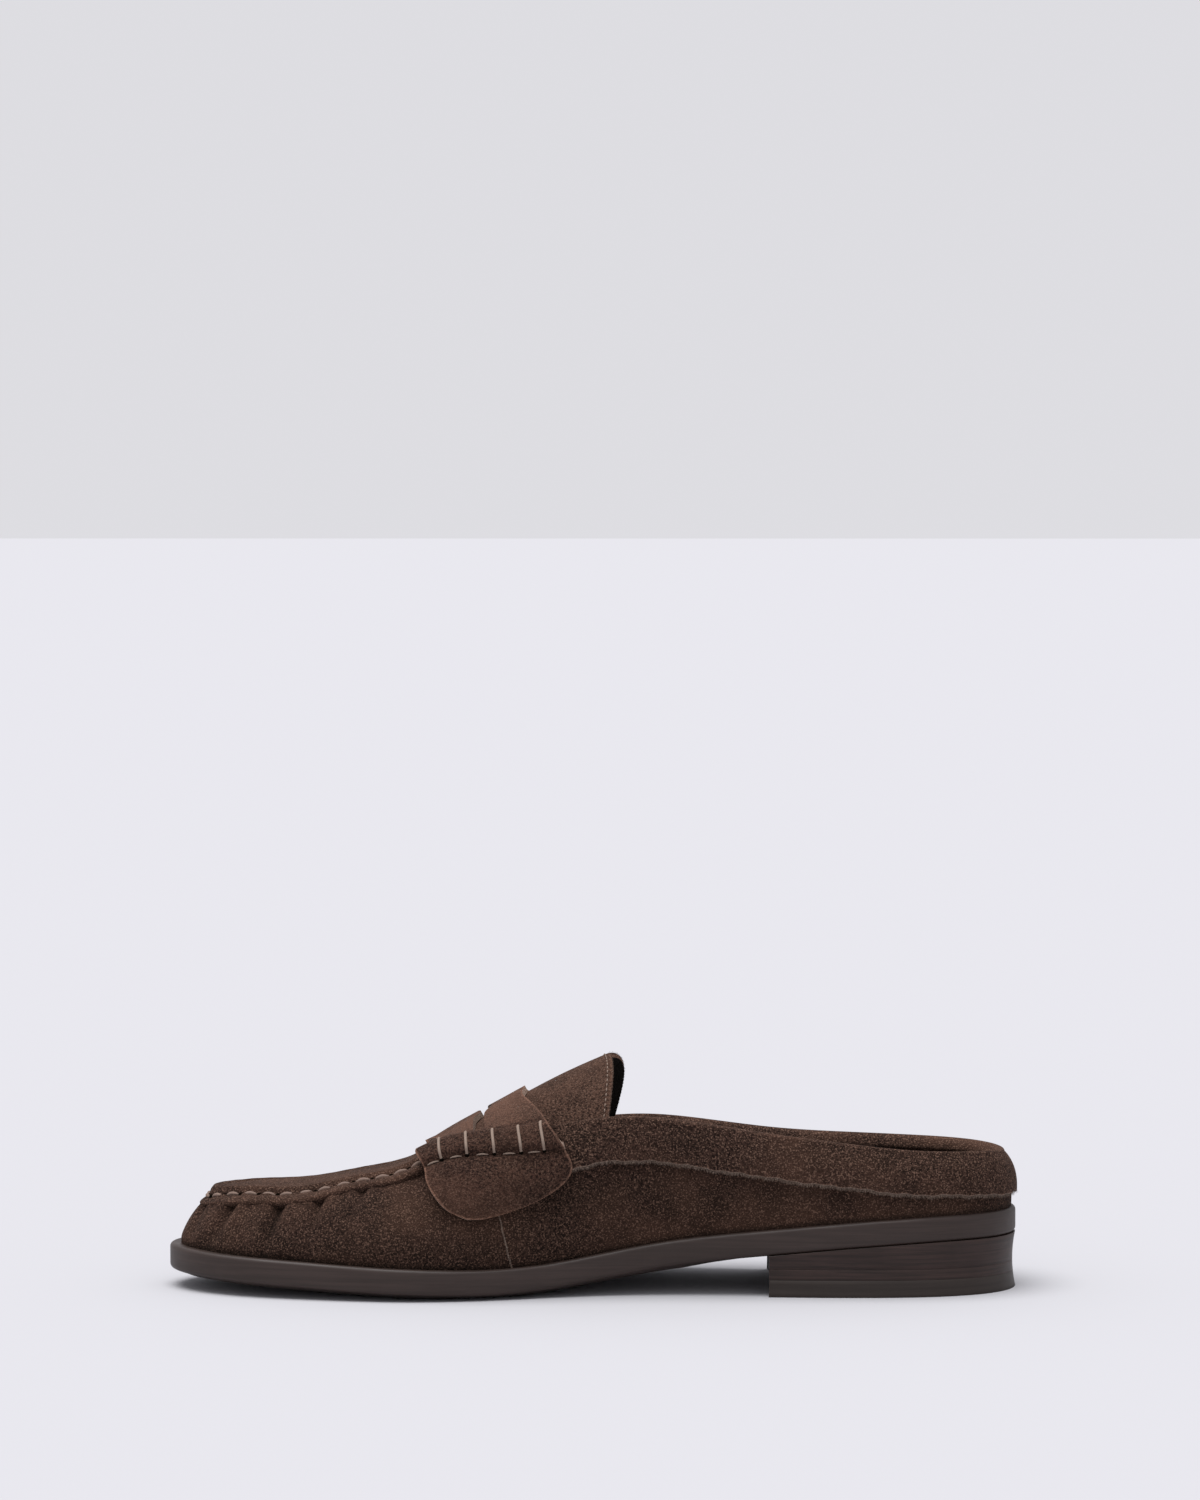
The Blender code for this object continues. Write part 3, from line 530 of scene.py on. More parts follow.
# %% Materials
class Nodes:
    """A short way to write a material's nodes."""

    def __init__(self, name):
        self.material = bpy.data.materials.new(name)
        self.material.use_nodes = True
        self.tree = self.material.node_tree
        self.shader = self.tree.nodes["Principled BSDF"]
        self.where = self.tree.nodes.new("ShaderNodeTexCoord").outputs["Object"]

    def new(self, kind, **settings):
        node = self.tree.nodes.new(kind)
        for key, value in settings.items():
            setattr(node, key, value)
        return node

    def put(self, socket, value):
        if isinstance(value, bpy.types.NodeSocket):
            self.tree.links.new(value, socket)
        else:
            socket.default_value = value

    def noise(self, scale, detail=2.0, roughness=0.5, stretch=None, distortion=0.0):
        node = self.new("ShaderNodeTexNoise")
        place = self.where
        if stretch:
            mapping = self.new("ShaderNodeMapping")
            self.put(mapping.inputs["Vector"], place)
            mapping.inputs["Scale"].default_value = stretch
            place = mapping.outputs["Vector"]
        self.put(node.inputs["Vector"], place)
        node.inputs["Scale"].default_value = scale
        node.inputs["Detail"].default_value = detail
        node.inputs["Roughness"].default_value = roughness
        node.inputs["Distortion"].default_value = distortion
        return node.outputs["Fac"]

    def span(self, value, low, high, to_low=0.0, to_high=1.0):
        node = self.new("ShaderNodeMapRange", interpolation_type="SMOOTHSTEP")
        self.put(node.inputs["Value"], value)
        for key, number in (("From Min", low), ("From Max", high),
                            ("To Min", to_low), ("To Max", to_high)):
            node.inputs[key].default_value = number
        return node.outputs["Result"]

    def mix(self, factor, first, second, blend="MIX"):
        node = self.new("ShaderNodeMix", data_type="RGBA", blend_type=blend)
        self.put(node.inputs["Factor"], factor)
        for socket, value in ((node.inputs[6], first), (node.inputs[7], second)):
            self.put(socket, value if isinstance(value, bpy.types.NodeSocket)
                     else (*value, 1.0))
        return node.outputs[2]

    def tone(self):
        node = self.new("ShaderNodeAttribute", attribute_name="tone")
        return node.outputs["Fac"]

    def bump(self, layers):
        """Chain bumps of (height, distance in metres) under the surface."""
        before = None
        for height, distance in layers:
            node = self.new("ShaderNodeBump")
            self.put(node.inputs["Height"], height)
            node.inputs["Distance"].default_value = distance
            if before is not None:
                self.put(node.inputs["Normal"], before)
            before = node.outputs["Normal"]
        self.put(self.shader.inputs["Normal"], before)

    def finish(self, colour, roughness, **others):
        self.put(self.shader.inputs["Base Color"],
                 colour if isinstance(colour, bpy.types.NodeSocket) else (*colour, 1.0))
        self.put(self.shader.inputs["Roughness"], roughness)
        for key, value in others.items():
            self.put(self.shader.inputs[key.replace("_", " ")], value)
        return self.material


def suede(name, dark, middle, light, warm, fleck=0.6):
    """Napped leather: speckle, brushed patches, standing fibres, and the light and shade
    painted in from the tone.
    """
    n = Nodes(name)
    fine = n.noise(2000.0, 2.0, 0.6)
    fibre = n.noise(1300.0, 3.0, 0.65)
    brushed = n.noise(95.0, 3.0, 0.55)
    patch = n.noise(28.0, 2.0, 0.5)
    base = n.mix(n.span(fibre, 0.40, 0.60), dark, middle)
    base = n.mix(n.span(patch, 0.40, 0.66, 0.0, 0.6), base, warm)
    base = n.mix(n.span(brushed, 0.42, 0.70, 0.0, 0.5), base, dark)
    base = n.mix(n.span(fine, 0.52, 0.66, 0.0, fleck), base, light)
    # The tone paints light and shade into the colour: above 0 it lightens for painted
    # highlights and raw cut edges, below 0 it darkens towards near black for painted shade.
    highlight_and_raw_edge = n.span(n.tone(), 0.0, 1.0, 0.0, 1.0)
    painted_shade = n.span(n.tone(), -1.0, 0.0, 1.0, 0.0)
    bright = n.mix(0.4, n.mix(1.0, base, (2.6, 2.4, 2.3), "MULTIPLY"), light)
    base = n.mix(highlight_and_raw_edge, base, bright)
    base = n.mix(painted_shade, base, (0.004, 0.003, 0.002))
    n.bump(((brushed, 0.0004), (fibre, 0.0005), (fine, 0.0004)))
    tint = (light[0], light[1], light[2], 1.0)
    return n.finish(base, 0.95, Sheen_Weight=0.12, Sheen_Roughness=0.6,
                    Sheen_Tint=tint, Specular_IOR_Level=0.08)


def smooth_leather(name, dark, light, roughness, coat, lines=None):
    """Sole, heel and lining: polished edges with fine marks along them."""
    n = Nodes(name)
    cloud = n.noise(60.0, 3.0, 0.6)
    if lines:
        grain = n.noise(lines, 4.0, 0.7, stretch=(0.03, 0.03, 1.0))
    else:
        grain = n.noise(900.0, 3.0, 0.6)
    base = n.mix(n.span(grain, 0.35, 0.65), dark, light)
    base = n.mix(n.span(cloud, 0.35, 0.7, 0.0, 0.35), base, dark)
    n.bump(((cloud, 0.0002), (grain, 0.00008 if lines else 0.0001)))
    rough = n.span(cloud, 0.3, 0.7, roughness - 0.06, roughness + 0.06)
    return n.finish(base, rough, Coat_Weight=coat, Coat_Roughness=0.35,
                    Specular_IOR_Level=0.3)


SUEDE = suede("suede", (0.009, 0.0048, 0.0035), (0.048, 0.026, 0.019),
              (0.220, 0.132, 0.095), (0.070, 0.036, 0.024), 0.62)
# A darker copy of the same suede for the wall: painted shade on the upper's sides, which face
# away from the overhead light.
SHADED_SUEDE_WALL = suede("shaded_suede_wall", (0.007, 0.0038, 0.0028), (0.037, 0.020, 0.0145),
                   (0.175, 0.103, 0.074), (0.056, 0.029, 0.019), 0.62)
# A lighter copy of the same suede for the tongue: painted light on a face turned up to the
# overhead light.
LIT_SUEDE_TONGUE = suede("lit_suede_tongue", (0.018, 0.0095, 0.007), (0.076, 0.041, 0.029),
                     (0.210, 0.128, 0.092), (0.090, 0.047, 0.032), 0.5)
SUEDE_STRAP = suede("suede_strap", (0.012, 0.006, 0.0045), (0.060, 0.031, 0.022),
                    (0.180, 0.108, 0.078), (0.080, 0.040, 0.027), 0.4)
RAW_EDGE = suede("raw_edge", (0.085, 0.060, 0.048), (0.15, 0.110, 0.088),
                 (0.26, 0.20, 0.165), (0.12, 0.080, 0.060), 0.7)
# The lining is dark leather, made darker still as painted shade inside the shoe and under the
# tongue's end.
SHADED_LINING = smooth_leather("lining", (0.010, 0.008, 0.007), (0.018, 0.014, 0.012), 0.75, 0.0)
INSOLE_LEATHER = smooth_leather("insole_leather", (0.030, 0.017, 0.011),
                                (0.045, 0.026, 0.017), 0.55, 0.05)
SOLE_EDGE = smooth_leather("sole_edge", (0.026, 0.0165, 0.0135), (0.040, 0.0255, 0.0215),
                           0.50, 0.04, 700.0)
HEEL_STACK = smooth_leather("heel_stack", (0.015, 0.0075, 0.0055), (0.036, 0.0185, 0.0150),
                            0.48, 0.04, 1100.0)
HEEL_TOP = smooth_leather("heel_top_lift", (0.018, 0.012, 0.0095), (0.027, 0.019, 0.0155),
                          0.55, 0.02, 500.0)
thread_nodes = Nodes("thread")
THREAD = thread_nodes.finish(
    thread_nodes.mix(thread_nodes.noise(2500.0), (0.15, 0.105, 0.08), (0.32, 0.245, 0.20)),
    0.8, Specular_IOR_Level=0.2)
seam_nodes = Nodes("seam_thread")
SEAM_THREAD = seam_nodes.finish(
    seam_nodes.mix(seam_nodes.noise(2500.0), (0.125, 0.085, 0.068), (0.26, 0.185, 0.150)),
    0.8, Specular_IOR_Level=0.15)
# Near-black spots laid where the thread enters the leather: painted shade in the needle
# holes.
HOLE_SHADE = Nodes("needle_hole_shade").finish((0.004, 0.003, 0.002), 1.0, Specular_IOR_Level=0.0)
print("materials ready")

# %% [markdown]
# The sole and the heel lifts are slabs: an edge profile runs along both sides
# of the outline and the two sides are bridged above and below.


# %% Sole, heel lifts and insole
def slab(name, profile, angles, deck, materials, breast=None):
    """A closed slab from (inset, height) pairs, top face to bottom face."""
    rings = []
    for angle in angles:
        edges = []
        for turned in (angle, TURN - angle):
            x = outline(turned)[0]
            edge = []
            for inset_of, height_of in profile:
                px, py = outline(turned, inset_of(turned, x))[:2]
                edge.append((float(px), float(py), float(height_of(x))))
            edges.append(np.array(edge))
        medial, lateral = edges
        shares = np.linspace(0.0, 1.0, deck + 1)[1:-1, None]
        bottom = medial[-1] * (1 - shares) + lateral[-1] * shares
        top = lateral[0] * (1 - shares) + medial[0] * shares
        rings.append(np.concatenate((medial, bottom, lateral[::-1], top)))
    rings = np.array(rings)
    if breast is not None:
        half = np.abs(rings[-1][:, 1]).max()
        rings[-1][:, 0] += breast * (1.0 - (rings[-1][:, 1] / half) ** 2)
    count = rings.shape[1]
    faces = [face[::-1] for face in grid_faces(len(rings), count, wrap=True)]
    points = rings.reshape(-1, 3)
    if breast is not None:
        rim = rings[-1]
        rows = len(profile)
        medial, lateral = rim[:rows], rim[rows + deck - 1:2 * rows + deck - 1][::-1]
        shares = np.linspace(0.0, 1.0, deck + 1)[:, None]
        cap = []
        for a, b in zip(medial, lateral):
            line = a * (1 - shares) + b * shares
            line[:, 0] = medial[0][0] + breast * (1.0 - (line[:, 1] / half) ** 2)
            cap.append(line)
        cap = np.array(cap)
        offset = len(points)
        faces += [tuple(i + offset for i in face) for face in grid_faces(rows, deck + 1)]
        points = np.concatenate((points, cap.reshape(-1, 3)))
    piece = new_piece(name, points, faces, materials, weld=2e-5)
    piece.data.set_sharp_from_angle(angle=math.radians(CUT_EDGE_ANGLE))
    return piece


def fixed(value):
    """An inset that is the same all round."""
    return lambda angle, x: value


def below_top(value):
    """A height below the sole's upper edge."""
    return lambda x: sole_top(x) - value


def quarter_round(radius, steps=5):
    """Inset and drop of an edge rounded by a quarter circle."""
    turns = [0.5 * math.pi * k / steps for k in range(steps + 1)]
    return [(radius * (1 - math.sin(t)), radius * (1 - math.cos(t))) for t in turns]


def side_angles(count, last=math.pi):
    """Angles from the heel towards the toe along one side."""
    return np.linspace(0.0, last, count)


top_edge = [(fixed(inset), below_top(drop)) for inset, drop in quarter_round(EDGE_ROUNDING)]
low_edge = [(fixed(inset), below_top(EDGE_THICKNESS - drop))
            for inset, drop in reversed(quarter_round(1.2 * EDGE_ROUNDING))]
sole_profile = (top_edge + [(fixed(0.0), below_top(0.5 * EDGE_THICKNESS))] + low_edge
                + [(fixed(0.55 * TREAD_MARGIN),
                    lambda x: 0.6 * tread(x) + 0.4 * (sole_top(x) - EDGE_THICKNESS)),
                   (fixed(TREAD_MARGIN), tread)])
sole = slab("sole", sole_profile, side_angles(181), 10, [SOLE_EDGE])
join_frame(sole, "sole", "outsole")


def heel_profile(low_of, high_of, bevel):
    """Edge of one lift with eased corners, following the heel's waist."""
    def inset_at(height_of, extra):
        def inset(angle, x):
            share = np.clip(height_of(x) / (sole_top(x) - EDGE_THICKNESS), 0.0, 1.0)
            waist = 4.0 * HEEL_WAIST * share * (1.0 - share)
            return 0.25 * HEEL_INSET * share + waist + extra
        return inset

    def between(share, shift=0.0):
        return lambda x: low_of(x) + share * (high_of(x) - low_of(x)) + shift

    heights = [(between(1.0), bevel), (between(1.0, -bevel), 0.0), (between(0.75), 0.0),
               (between(0.5), 0.0), (between(0.25), 0.0), (between(0.0, bevel), 0.0),
               (between(0.0), bevel)]
    return [(inset_at(height, extra), height) for height, extra in heights]


def level(value):
    """A flat height."""
    return lambda x: value + 0.0 * x


heel_last = float(angle_of("medial", BREAST_ALONG))
lifts = (
    ("heel_top_lift", level(0.0), level(TOP_LIFT), HEEL_TOP, "top_lift", "top_lift"),
    ("heel_lower_lift", level(TOP_LIFT), level(TOP_LIFT + LOWER_LIFT), HEEL_STACK,
     "heel_stack", "heel_lift_lower"),
    ("heel_upper_lift", level(TOP_LIFT + LOWER_LIFT),
     lambda x: sole_top(x) - EDGE_THICKNESS, HEEL_STACK, "heel_stack", "heel_lift_upper"),
)
for name, low_of, high_of, material, slot_name, node in lifts:
    lift = slab(name, heel_profile(low_of, high_of, LIFT_BEVEL),
                side_angles(90, heel_last), 12, [material], breast=BREAST_HOLLOW)
    join_frame(lift, slot_name, node)


def sock_margin(extra):
    """Inset of the insole inside the foot of the wall."""
    return lambda angle, x: LEDGE * ledge_at(angle) + WALL + INSOLE_CLEARANCE + extra


def above_sole(value):
    """A height above the sole's upper edge."""
    return lambda x: sole_top(x) + GAP + value


sock_profile = [
    (sock_margin(0.0012), above_sole(INSOLE_THICKNESS)),
    (sock_margin(0.0005), above_sole(0.92 * INSOLE_THICKNESS)),
    (sock_margin(0.0), above_sole(0.7 * INSOLE_THICKNESS)),
    (sock_margin(0.0), above_sole(0.0)),
]
sock = slab("insole_sock", sock_profile, side_angles(121), 10, [INSOLE_LEATHER])
join_frame(sock, "lining", "insole")

# %% [markdown]
# The vamp is gathered under the lip. Each gather is a trough that starts
# under the lip, slants towards the toe as it goes down and fades out, with
# a soft puff on both sides. reach is the distance along the seam from the
# toe, below 0 on the medial side, and slant moves a trough as it goes down.

# %% Gathers of the vamp
Gather = namedtuple("Gather", "reach slant depth width length")
seam_angles = np.linspace(0.0, TURN, 1441)
seam_tops = wall_controls(seam_angles)[3]
seam_steps = np.linalg.norm(np.diff(seam_tops, axis=0), axis=-1)
seam_walk = np.concatenate(([0.0], np.cumsum(seam_steps)))
toe_walk = float(np.interp(math.pi, seam_angles, seam_walk))


def reach_of(angle):
    """Distance along the top line from the toe, below 0 on the medial side."""
    return np.interp(np.mod(angle, TURN), seam_angles, seam_walk) - toe_walk


def angle_at(reach):
    """The angle around the shoe at a reach along the top line."""
    return np.interp(np.asarray(reach) + toe_walk, seam_walk, seam_angles)


def reach_at_x(x, side):
    """Reach of a place along the shoe on one side."""
    half = seam_angles <= math.pi if side == "medial" else seam_angles >= math.pi
    order = np.argsort(seam_tops[half][:, 0])
    return float(np.interp(x, seam_tops[half][order, 0], reach_of(seam_angles[half])[order]))


MEDIAL_GATHERS = (
    Gather(-0.1110, 0.45, 0.0022, 0.0019, 0.0120),
    Gather(-0.0960, 0.30, 0.0029, 0.0021, 0.0140),
    Gather(-0.0832, 0.28, 0.0022, 0.0018, 0.0105),
    Gather(-0.0700, 0.30, 0.0016, 0.0017, 0.0080),
)
TOE_GATHER = Gather(0.0, 0.0, 0.0009, 0.0012, 0.0075)
LATERAL_SHIFT = 0.001
LATERAL_DEPTH = 0.85
PUFF_HEIGHT = 0.0009
PUFF_LENGTH = 0.0100
PUFF_END = 0.006
PUFF_FADE = 0.010
SHOULDER_SHARE = 0.35
SHOULDER_PLACE = 1.8
SHOULDER_WIDTH = 1.6
gathers = []
for row in MEDIAL_GATHERS:
    gathers.append(row._replace(reach=reach_at_x(row.reach, "medial")))
for row in MEDIAL_GATHERS:
    far = reach_at_x(row.reach + LATERAL_SHIFT, "lateral")
    gathers.append(row._replace(reach=far, slant=-row.slant,
                                depth=LATERAL_DEPTH * row.depth))
for place in (-0.0055, 0.0065):
    gathers.append(TOE_GATHER._replace(reach=place))


def gather_relief(angle, drop):
    """Height of the gathers over the plain wall."""
    reach = reach_of(angle)
    relief = np.zeros_like(reach)
    span = max(row.reach for row in gathers) + PUFF_END
    inside = 1.0 - ramp(np.abs(reach), span, span + PUFF_FADE)
    relief += PUFF_HEIGHT * inside * np.exp(-(drop / PUFF_LENGTH) ** 2)
    for row in gathers:
        lean = -np.sign(row.reach) * abs(row.slant) * drop
        across = (reach - row.reach - lean) / row.width
        fade = np.exp(-(drop / row.length) ** 2)
        relief -= row.depth * fade * np.exp(-across ** 2)
        for place in (SHOULDER_PLACE, -SHOULDER_PLACE):
            shoulder = np.exp(-((across - place) / SHOULDER_WIDTH) ** 2)
            relief += SHOULDER_SHARE * row.depth * fade * shoulder
    return relief


print(len(gathers), "gathers, at", [round(row.reach / MM) for row in gathers], "mm")

# %% [markdown]
# The upper is the wall in fine steps, with the gathers, soft dents where the
# foot bends and the step of the side seam. Its foot goes a little below the
# sole's ledge so that no light shows under it.

# %% The upper
Dent = namedtuple("Dent", "side along drop depth long high")
DENTS = (
    Dent("medial", 0.745, 0.016, -0.0004, 0.020, 0.008),
    Dent("medial", 0.660, 0.030, 0.0004, 0.012, 0.006),
    Dent("medial", 0.520, 0.022, -0.0006, 0.016, 0.007),
    Dent("medial", 0.400, 0.020, 0.0004, 0.020, 0.006),
    Dent("medial", 0.270, 0.016, -0.0004, 0.020, 0.006),
    Dent("lateral", 0.735, 0.016, -0.0004, 0.018, 0.008),
    Dent("lateral", 0.560, 0.020, -0.0006, 0.016, 0.008),
    Dent("lateral", 0.380, 0.018, 0.0004, 0.020, 0.006),
)
SEAM_TOP_X, SEAM_FOOT_X = -0.0334, -0.0240
SEAM_STEP = 0.0005
LATERAL_SEAM_SHIFT = 0.004


def side_seam_x(side, share):
    """Place along the shoe of the side seam, from the top line to the foot."""
    shift = 0.0 if side == "medial" else LATERAL_SEAM_SHIFT
    return SEAM_TOP_X + shift + (SEAM_FOOT_X - SEAM_TOP_X) * share


WALL_COLUMNS = 760
WALL_ROWS = 54
GATHER_START = 0.0042
FOOT_OVERLAP = 0.0006
FOOT_FADE = 0.006
columns = np.linspace(0.0, TURN, WALL_COLUMNS, endpoint=False)
lengths = wall_length(columns)
share_down = np.linspace(0.0, 1.0, WALL_ROWS)[:, None]
wall_drop = share_down * (lengths + FOOT_OVERLAP)
wall_angle = np.broadcast_to(columns, wall_drop.shape)
skin = wall_at(wall_angle, np.minimum(wall_drop, lengths))
sink = np.maximum(wall_drop - lengths, 0.0)
skin[..., 2] -= sink + 0.0003 * (share_down > 0.999)
wall_normal = grid_normals(skin, wrap=True, blur=1)
relief = gather_relief(wall_angle, np.maximum(wall_drop - GATHER_START, 0.0))
foot_fade = ramp(lengths - wall_drop, 0.0, FOOT_FADE)
for dent in DENTS:
    centre = float(angle_of(dent.side, dent.along))
    away = np.hypot((skin[..., 0] - to_x(dent.along)) / dent.long,
                    (wall_drop - dent.drop) / dent.high)
    near_side = np.abs(np.mod(wall_angle - centre + math.pi, TURN) - math.pi) < 0.6
    relief += dent.depth * np.exp(-away ** 2) * near_side * foot_fade
behind = np.zeros_like(wall_drop)
for side in ("medial", "lateral"):
    on_side = (wall_angle < math.pi) if side == "medial" else (wall_angle >= math.pi)
    past = skin[..., 0] - side_seam_x(side, share_down)
    behind += on_side * ramp(past, -0.0001, 0.0004) * (1.0 - ramp(past, 0.004, 0.016))
relief += SEAM_STEP * behind
# painted shade darkens the gathers' troughs, the sunken dents and the foot where the upper
# meets the sole; a painted highlight lightens the puffs, raised dents and the side seam's
# step a little
tone = -0.75 * np.clip(-relief / 0.0018, 0.0, 1.0) + 0.16 * np.clip(relief / 0.0012, 0.0, 1.0)
tone += -0.55 * np.exp(-((lengths - wall_drop) / 0.0012) ** 2)
outer = skin + wall_normal * (relief * ramp(lengths - wall_drop, -0.001, 0.002))[..., None]
inner = skin - wall_normal * WALL
inner[-1, :, 2] = outer[-1, :, 2]
sheets = np.concatenate((outer, inner[::-1]))
tones = np.concatenate((tone, np.zeros_like(tone)))
# the wall takes the darker copy of the suede, painted shade on the sides
upper = new_piece("suede_upper", sheets, tube_faces(len(sheets), WALL_COLUMNS),
                  [SHADED_SUEDE_WALL], tones)
join_frame(upper, "suede", "upper")

LINING_ROWS = 16
LINING_TOP = 0.6 * BAND_INSIDE
LINING_FOOT = 0.0004
LINING_GAP = 0.0001
LINING_THICKNESS = 0.0005
lining_share = np.linspace(0.0, 1.0, LINING_ROWS)[:, None]
lining_drop = LINING_TOP + lining_share * (lengths - LINING_TOP - LINING_FOOT)
lining_skin = wall_at(np.broadcast_to(columns, lining_drop.shape), lining_drop)
lining_normal = grid_normals(lining_skin, wrap=True, blur=1)
lining_back = lining_skin - lining_normal * (WALL + LINING_GAP)
lining_face = lining_skin - lining_normal * (WALL + LINING_GAP + LINING_THICKNESS)
lining_sheets = np.concatenate((lining_back, lining_face[::-1]))
lining = new_piece("quarter_lining", lining_sheets,
                   tube_faces(len(lining_sheets), WALL_COLUMNS), [SHADED_LINING])
join_frame(lining, "lining")

# %% [markdown]
# The apron's edge is a hand-sewn seam: the apron rises in a bead, the thread
# lies in a groove along the top line, and the lip hangs over the gathers.
# The seam is pinched where the thread goes through.

# %% The apron and its lip
STITCH_PITCH = 0.0061
FIRST_STITCH = reach_at_x(-0.1115, "medial")
LIP_WIDTH = 0.0052
LIP_BEAD = 0.0017
APRON_BEAD = 0.0012
GROOVE_HEIGHT = 0.0008
GROOVE_HALF = 0.0010
BEAD_PLACE = 0.0026
BEAD_WIDTH = 0.0017
PINCH_DEPTH = 0.0003
TOE_REACH = 0.016
TOE_LIP_LESS = 0.42
TOE_BEAD_LESS = 0.75
APRON_END = 0.585
SHARES = 44
LIP_STEPS = 22

apron_angles = np.linspace(float(angle_of("medial", APRON_END)),
                           float(angle_of("lateral", APRON_END)), 721)
apron_reach = reach_of(apron_angles)
pinch = 0.5 + 0.5 * np.cos(TURN * (apron_reach - FIRST_STITCH) / STITCH_PITCH + math.pi)
wave = (0.5 * np.sin(apron_reach / 0.0071 + 0.6) + 0.5 * np.sin(apron_reach / 0.0039))
at_toe = np.exp(-(apron_reach / TOE_REACH) ** 2)
lip_width = (LIP_WIDTH + 0.0003 * wave - 0.0004 * pinch) * (1.0 - TOE_LIP_LESS * at_toe)
tops, crowns = arch_ends(apron_angles)
arch_lengths = np.linalg.norm(crowns - tops, axis=-1)
up_shares = (np.linspace(1.0, 0.0, SHARES) ** 1.7)[:, None]
up_skin = arch_at(np.broadcast_to(apron_angles, (SHARES, len(apron_angles))), up_shares)
down_share = np.linspace(0.0, 1.0, LIP_STEPS + 1)[1:, None]
down_drop = down_share * lip_width
down_skin = wall_at(np.broadcast_to(apron_angles, down_drop.shape), down_drop)
seam_skin = np.concatenate((up_skin, down_skin))
seam_normal = grid_normals(seam_skin, blur=6)
crown_rows = np.broadcast_to(np.array((0.0, 0.0, 1.0)), seam_normal.shape)
near_crown = ramp(np.concatenate((up_shares, 0.0 * down_share)), 0.55, 0.95)[..., None]
seam_normal = seam_normal * (1.0 - near_crown) + crown_rows * near_crown
climb = up_shares * arch_lengths
up_height = (PLUG_LIFT - (PLUG_LIFT - GROOVE_HEIGHT) * np.exp(-(climb / GROOVE_HALF) ** 2)
             + APRON_BEAD * np.exp(-((climb - BEAD_PLACE) / BEAD_WIDTH) ** 2)
             - PINCH_DEPTH * pinch * np.exp(-((climb - 0.0012) / 0.0012) ** 2))
profile = np.sin(0.5 * math.pi * down_share ** 0.6)
lip_bead = (LIP_BEAD - PINCH_DEPTH * pinch) * (1.0 - TOE_BEAD_LESS * at_toe)
down_height = (GROOVE_HEIGHT + lip_bead * profile + 0.0004 * down_share
               - PINCH_DEPTH * pinch * np.exp(-(down_drop / GROOVE_HALF) ** 2))
heights = np.concatenate((up_height, down_height))
surface = seam_skin + seam_normal * heights[..., None]
edge_way = (down_skin[-1] - down_skin[-2]) / lip_width[:, None] * LIP_STEPS
edge_round = [surface[-1] + (seam_skin[-1] - surface[-1]) * 0.35 + 0.0004 * edge_way,
              seam_skin[-1] + (surface[-1] - seam_skin[-1]) * 0.15 + 0.0003 * edge_way,
              seam_skin[-1] - 0.0022 * seam_normal[-1] - 0.0006 * edge_way]
surface = np.concatenate((surface, np.array(edge_round)))
groove = np.concatenate((climb, down_drop + 0.0 * climb[:1]))
# painted shade darkens the seam's groove, most where the thread pinches it; the lip lightens
# towards its raw cut edge, and the rows turned under at its edge carry painted shade on the
# lip's underside
tone = -0.55 * np.exp(-(groove / 0.0008) ** 2) * (0.45 + 0.55 * pinch)
tone[SHARES:] += 0.12 * np.clip(down_share, 0.0, 1.0) ** 2
tone[-1] = 0.30
lip_edge_and_shade_tone = np.broadcast_to(np.array((0.30, -0.30, -0.9))[:, None], (3, tone.shape[1]))
tone = np.concatenate((tone, lip_edge_and_shade_tone))
apron = new_piece("apron", surface, grid_faces(len(surface), len(apron_angles)),
                  [SUEDE], tone, weld=3e-5)
join_frame(apron, "suede_apron", "apron_tongue")

# %% [markdown]
# The tongue rises from under the strap. Its sides go down inside the
# quarters, and its end is a pinked edge that bows back over the instep.

# %% The tongue
TONGUE_START = 0.655
TONGUE_END = 0.482
TUCK_START = 0.600
TUCK_RUN = 0.045
TONGUE_BOW_MEDIAL = 0.0014
TONGUE_BOW_LATERAL = 0.0046
PINK_PITCH = 0.0013
PINK_DEPTH = 0.00025


def tongue_surface(rows_along, girths):
    """Points of the tongue: rows from its start to its end, by signed girth."""
    alongs = TONGUE_START + (TONGUE_END - TONGUE_START) * rows_along
    sides = []
    for side, sign in (("medial", -1.0), ("lateral", 1.0)):
        part = np.abs(girths[girths * sign >= 0.0])
        angle = np.broadcast_to(angle_of(side, alongs)[:, None], (len(alongs), len(part)))
        tucked = np.clip((TUCK_START - alongs) / TUCK_RUN, 0.0, 1.0)[:, None] + 0.0 * part
        points = arch_at(angle, np.broadcast_to(1.0 - part, angle.shape),
                         np.clip(2.0 * tucked, 0.0, 1.0) * TONGUE_CLEARANCE,
                         np.clip(2.0 * tucked - 1.0, 0.0, 1.0) * TONGUE_DEPTH)
        points[..., 2] += PLUG_LIFT
        late = rows_along[:, None] ** 4
        bow = TONGUE_BOW_MEDIAL if side == "medial" else TONGUE_BOW_LATERAL
        points[..., 0] += late * bow * np.sin(math.pi * part)
        sides.append(points)
    return np.concatenate((sides[0], sides[1][:, 1:]), axis=1)


tongue_rows = np.linspace(0.0, 1.0, 80)
tongue_girths = np.concatenate((-np.linspace(1.0, 0.0, 90), np.linspace(0.0, 1.0, 90)[1:]))
tongue_skin = tongue_surface(tongue_rows, tongue_girths)
arc = np.cumsum(np.linalg.norm(np.diff(tongue_skin[-1], axis=0), axis=-1))
arc = np.concatenate(([0.0], arc))
pinked = PINK_DEPTH * np.abs(np.sin(math.pi * arc / PINK_PITCH))
tongue_skin[-1, :, 0] += pinked
tongue_tone = np.zeros(tongue_skin.shape[:2])
tongue_tone[-1] = 0.35
stitch_row = len(tongue_rows) - 3
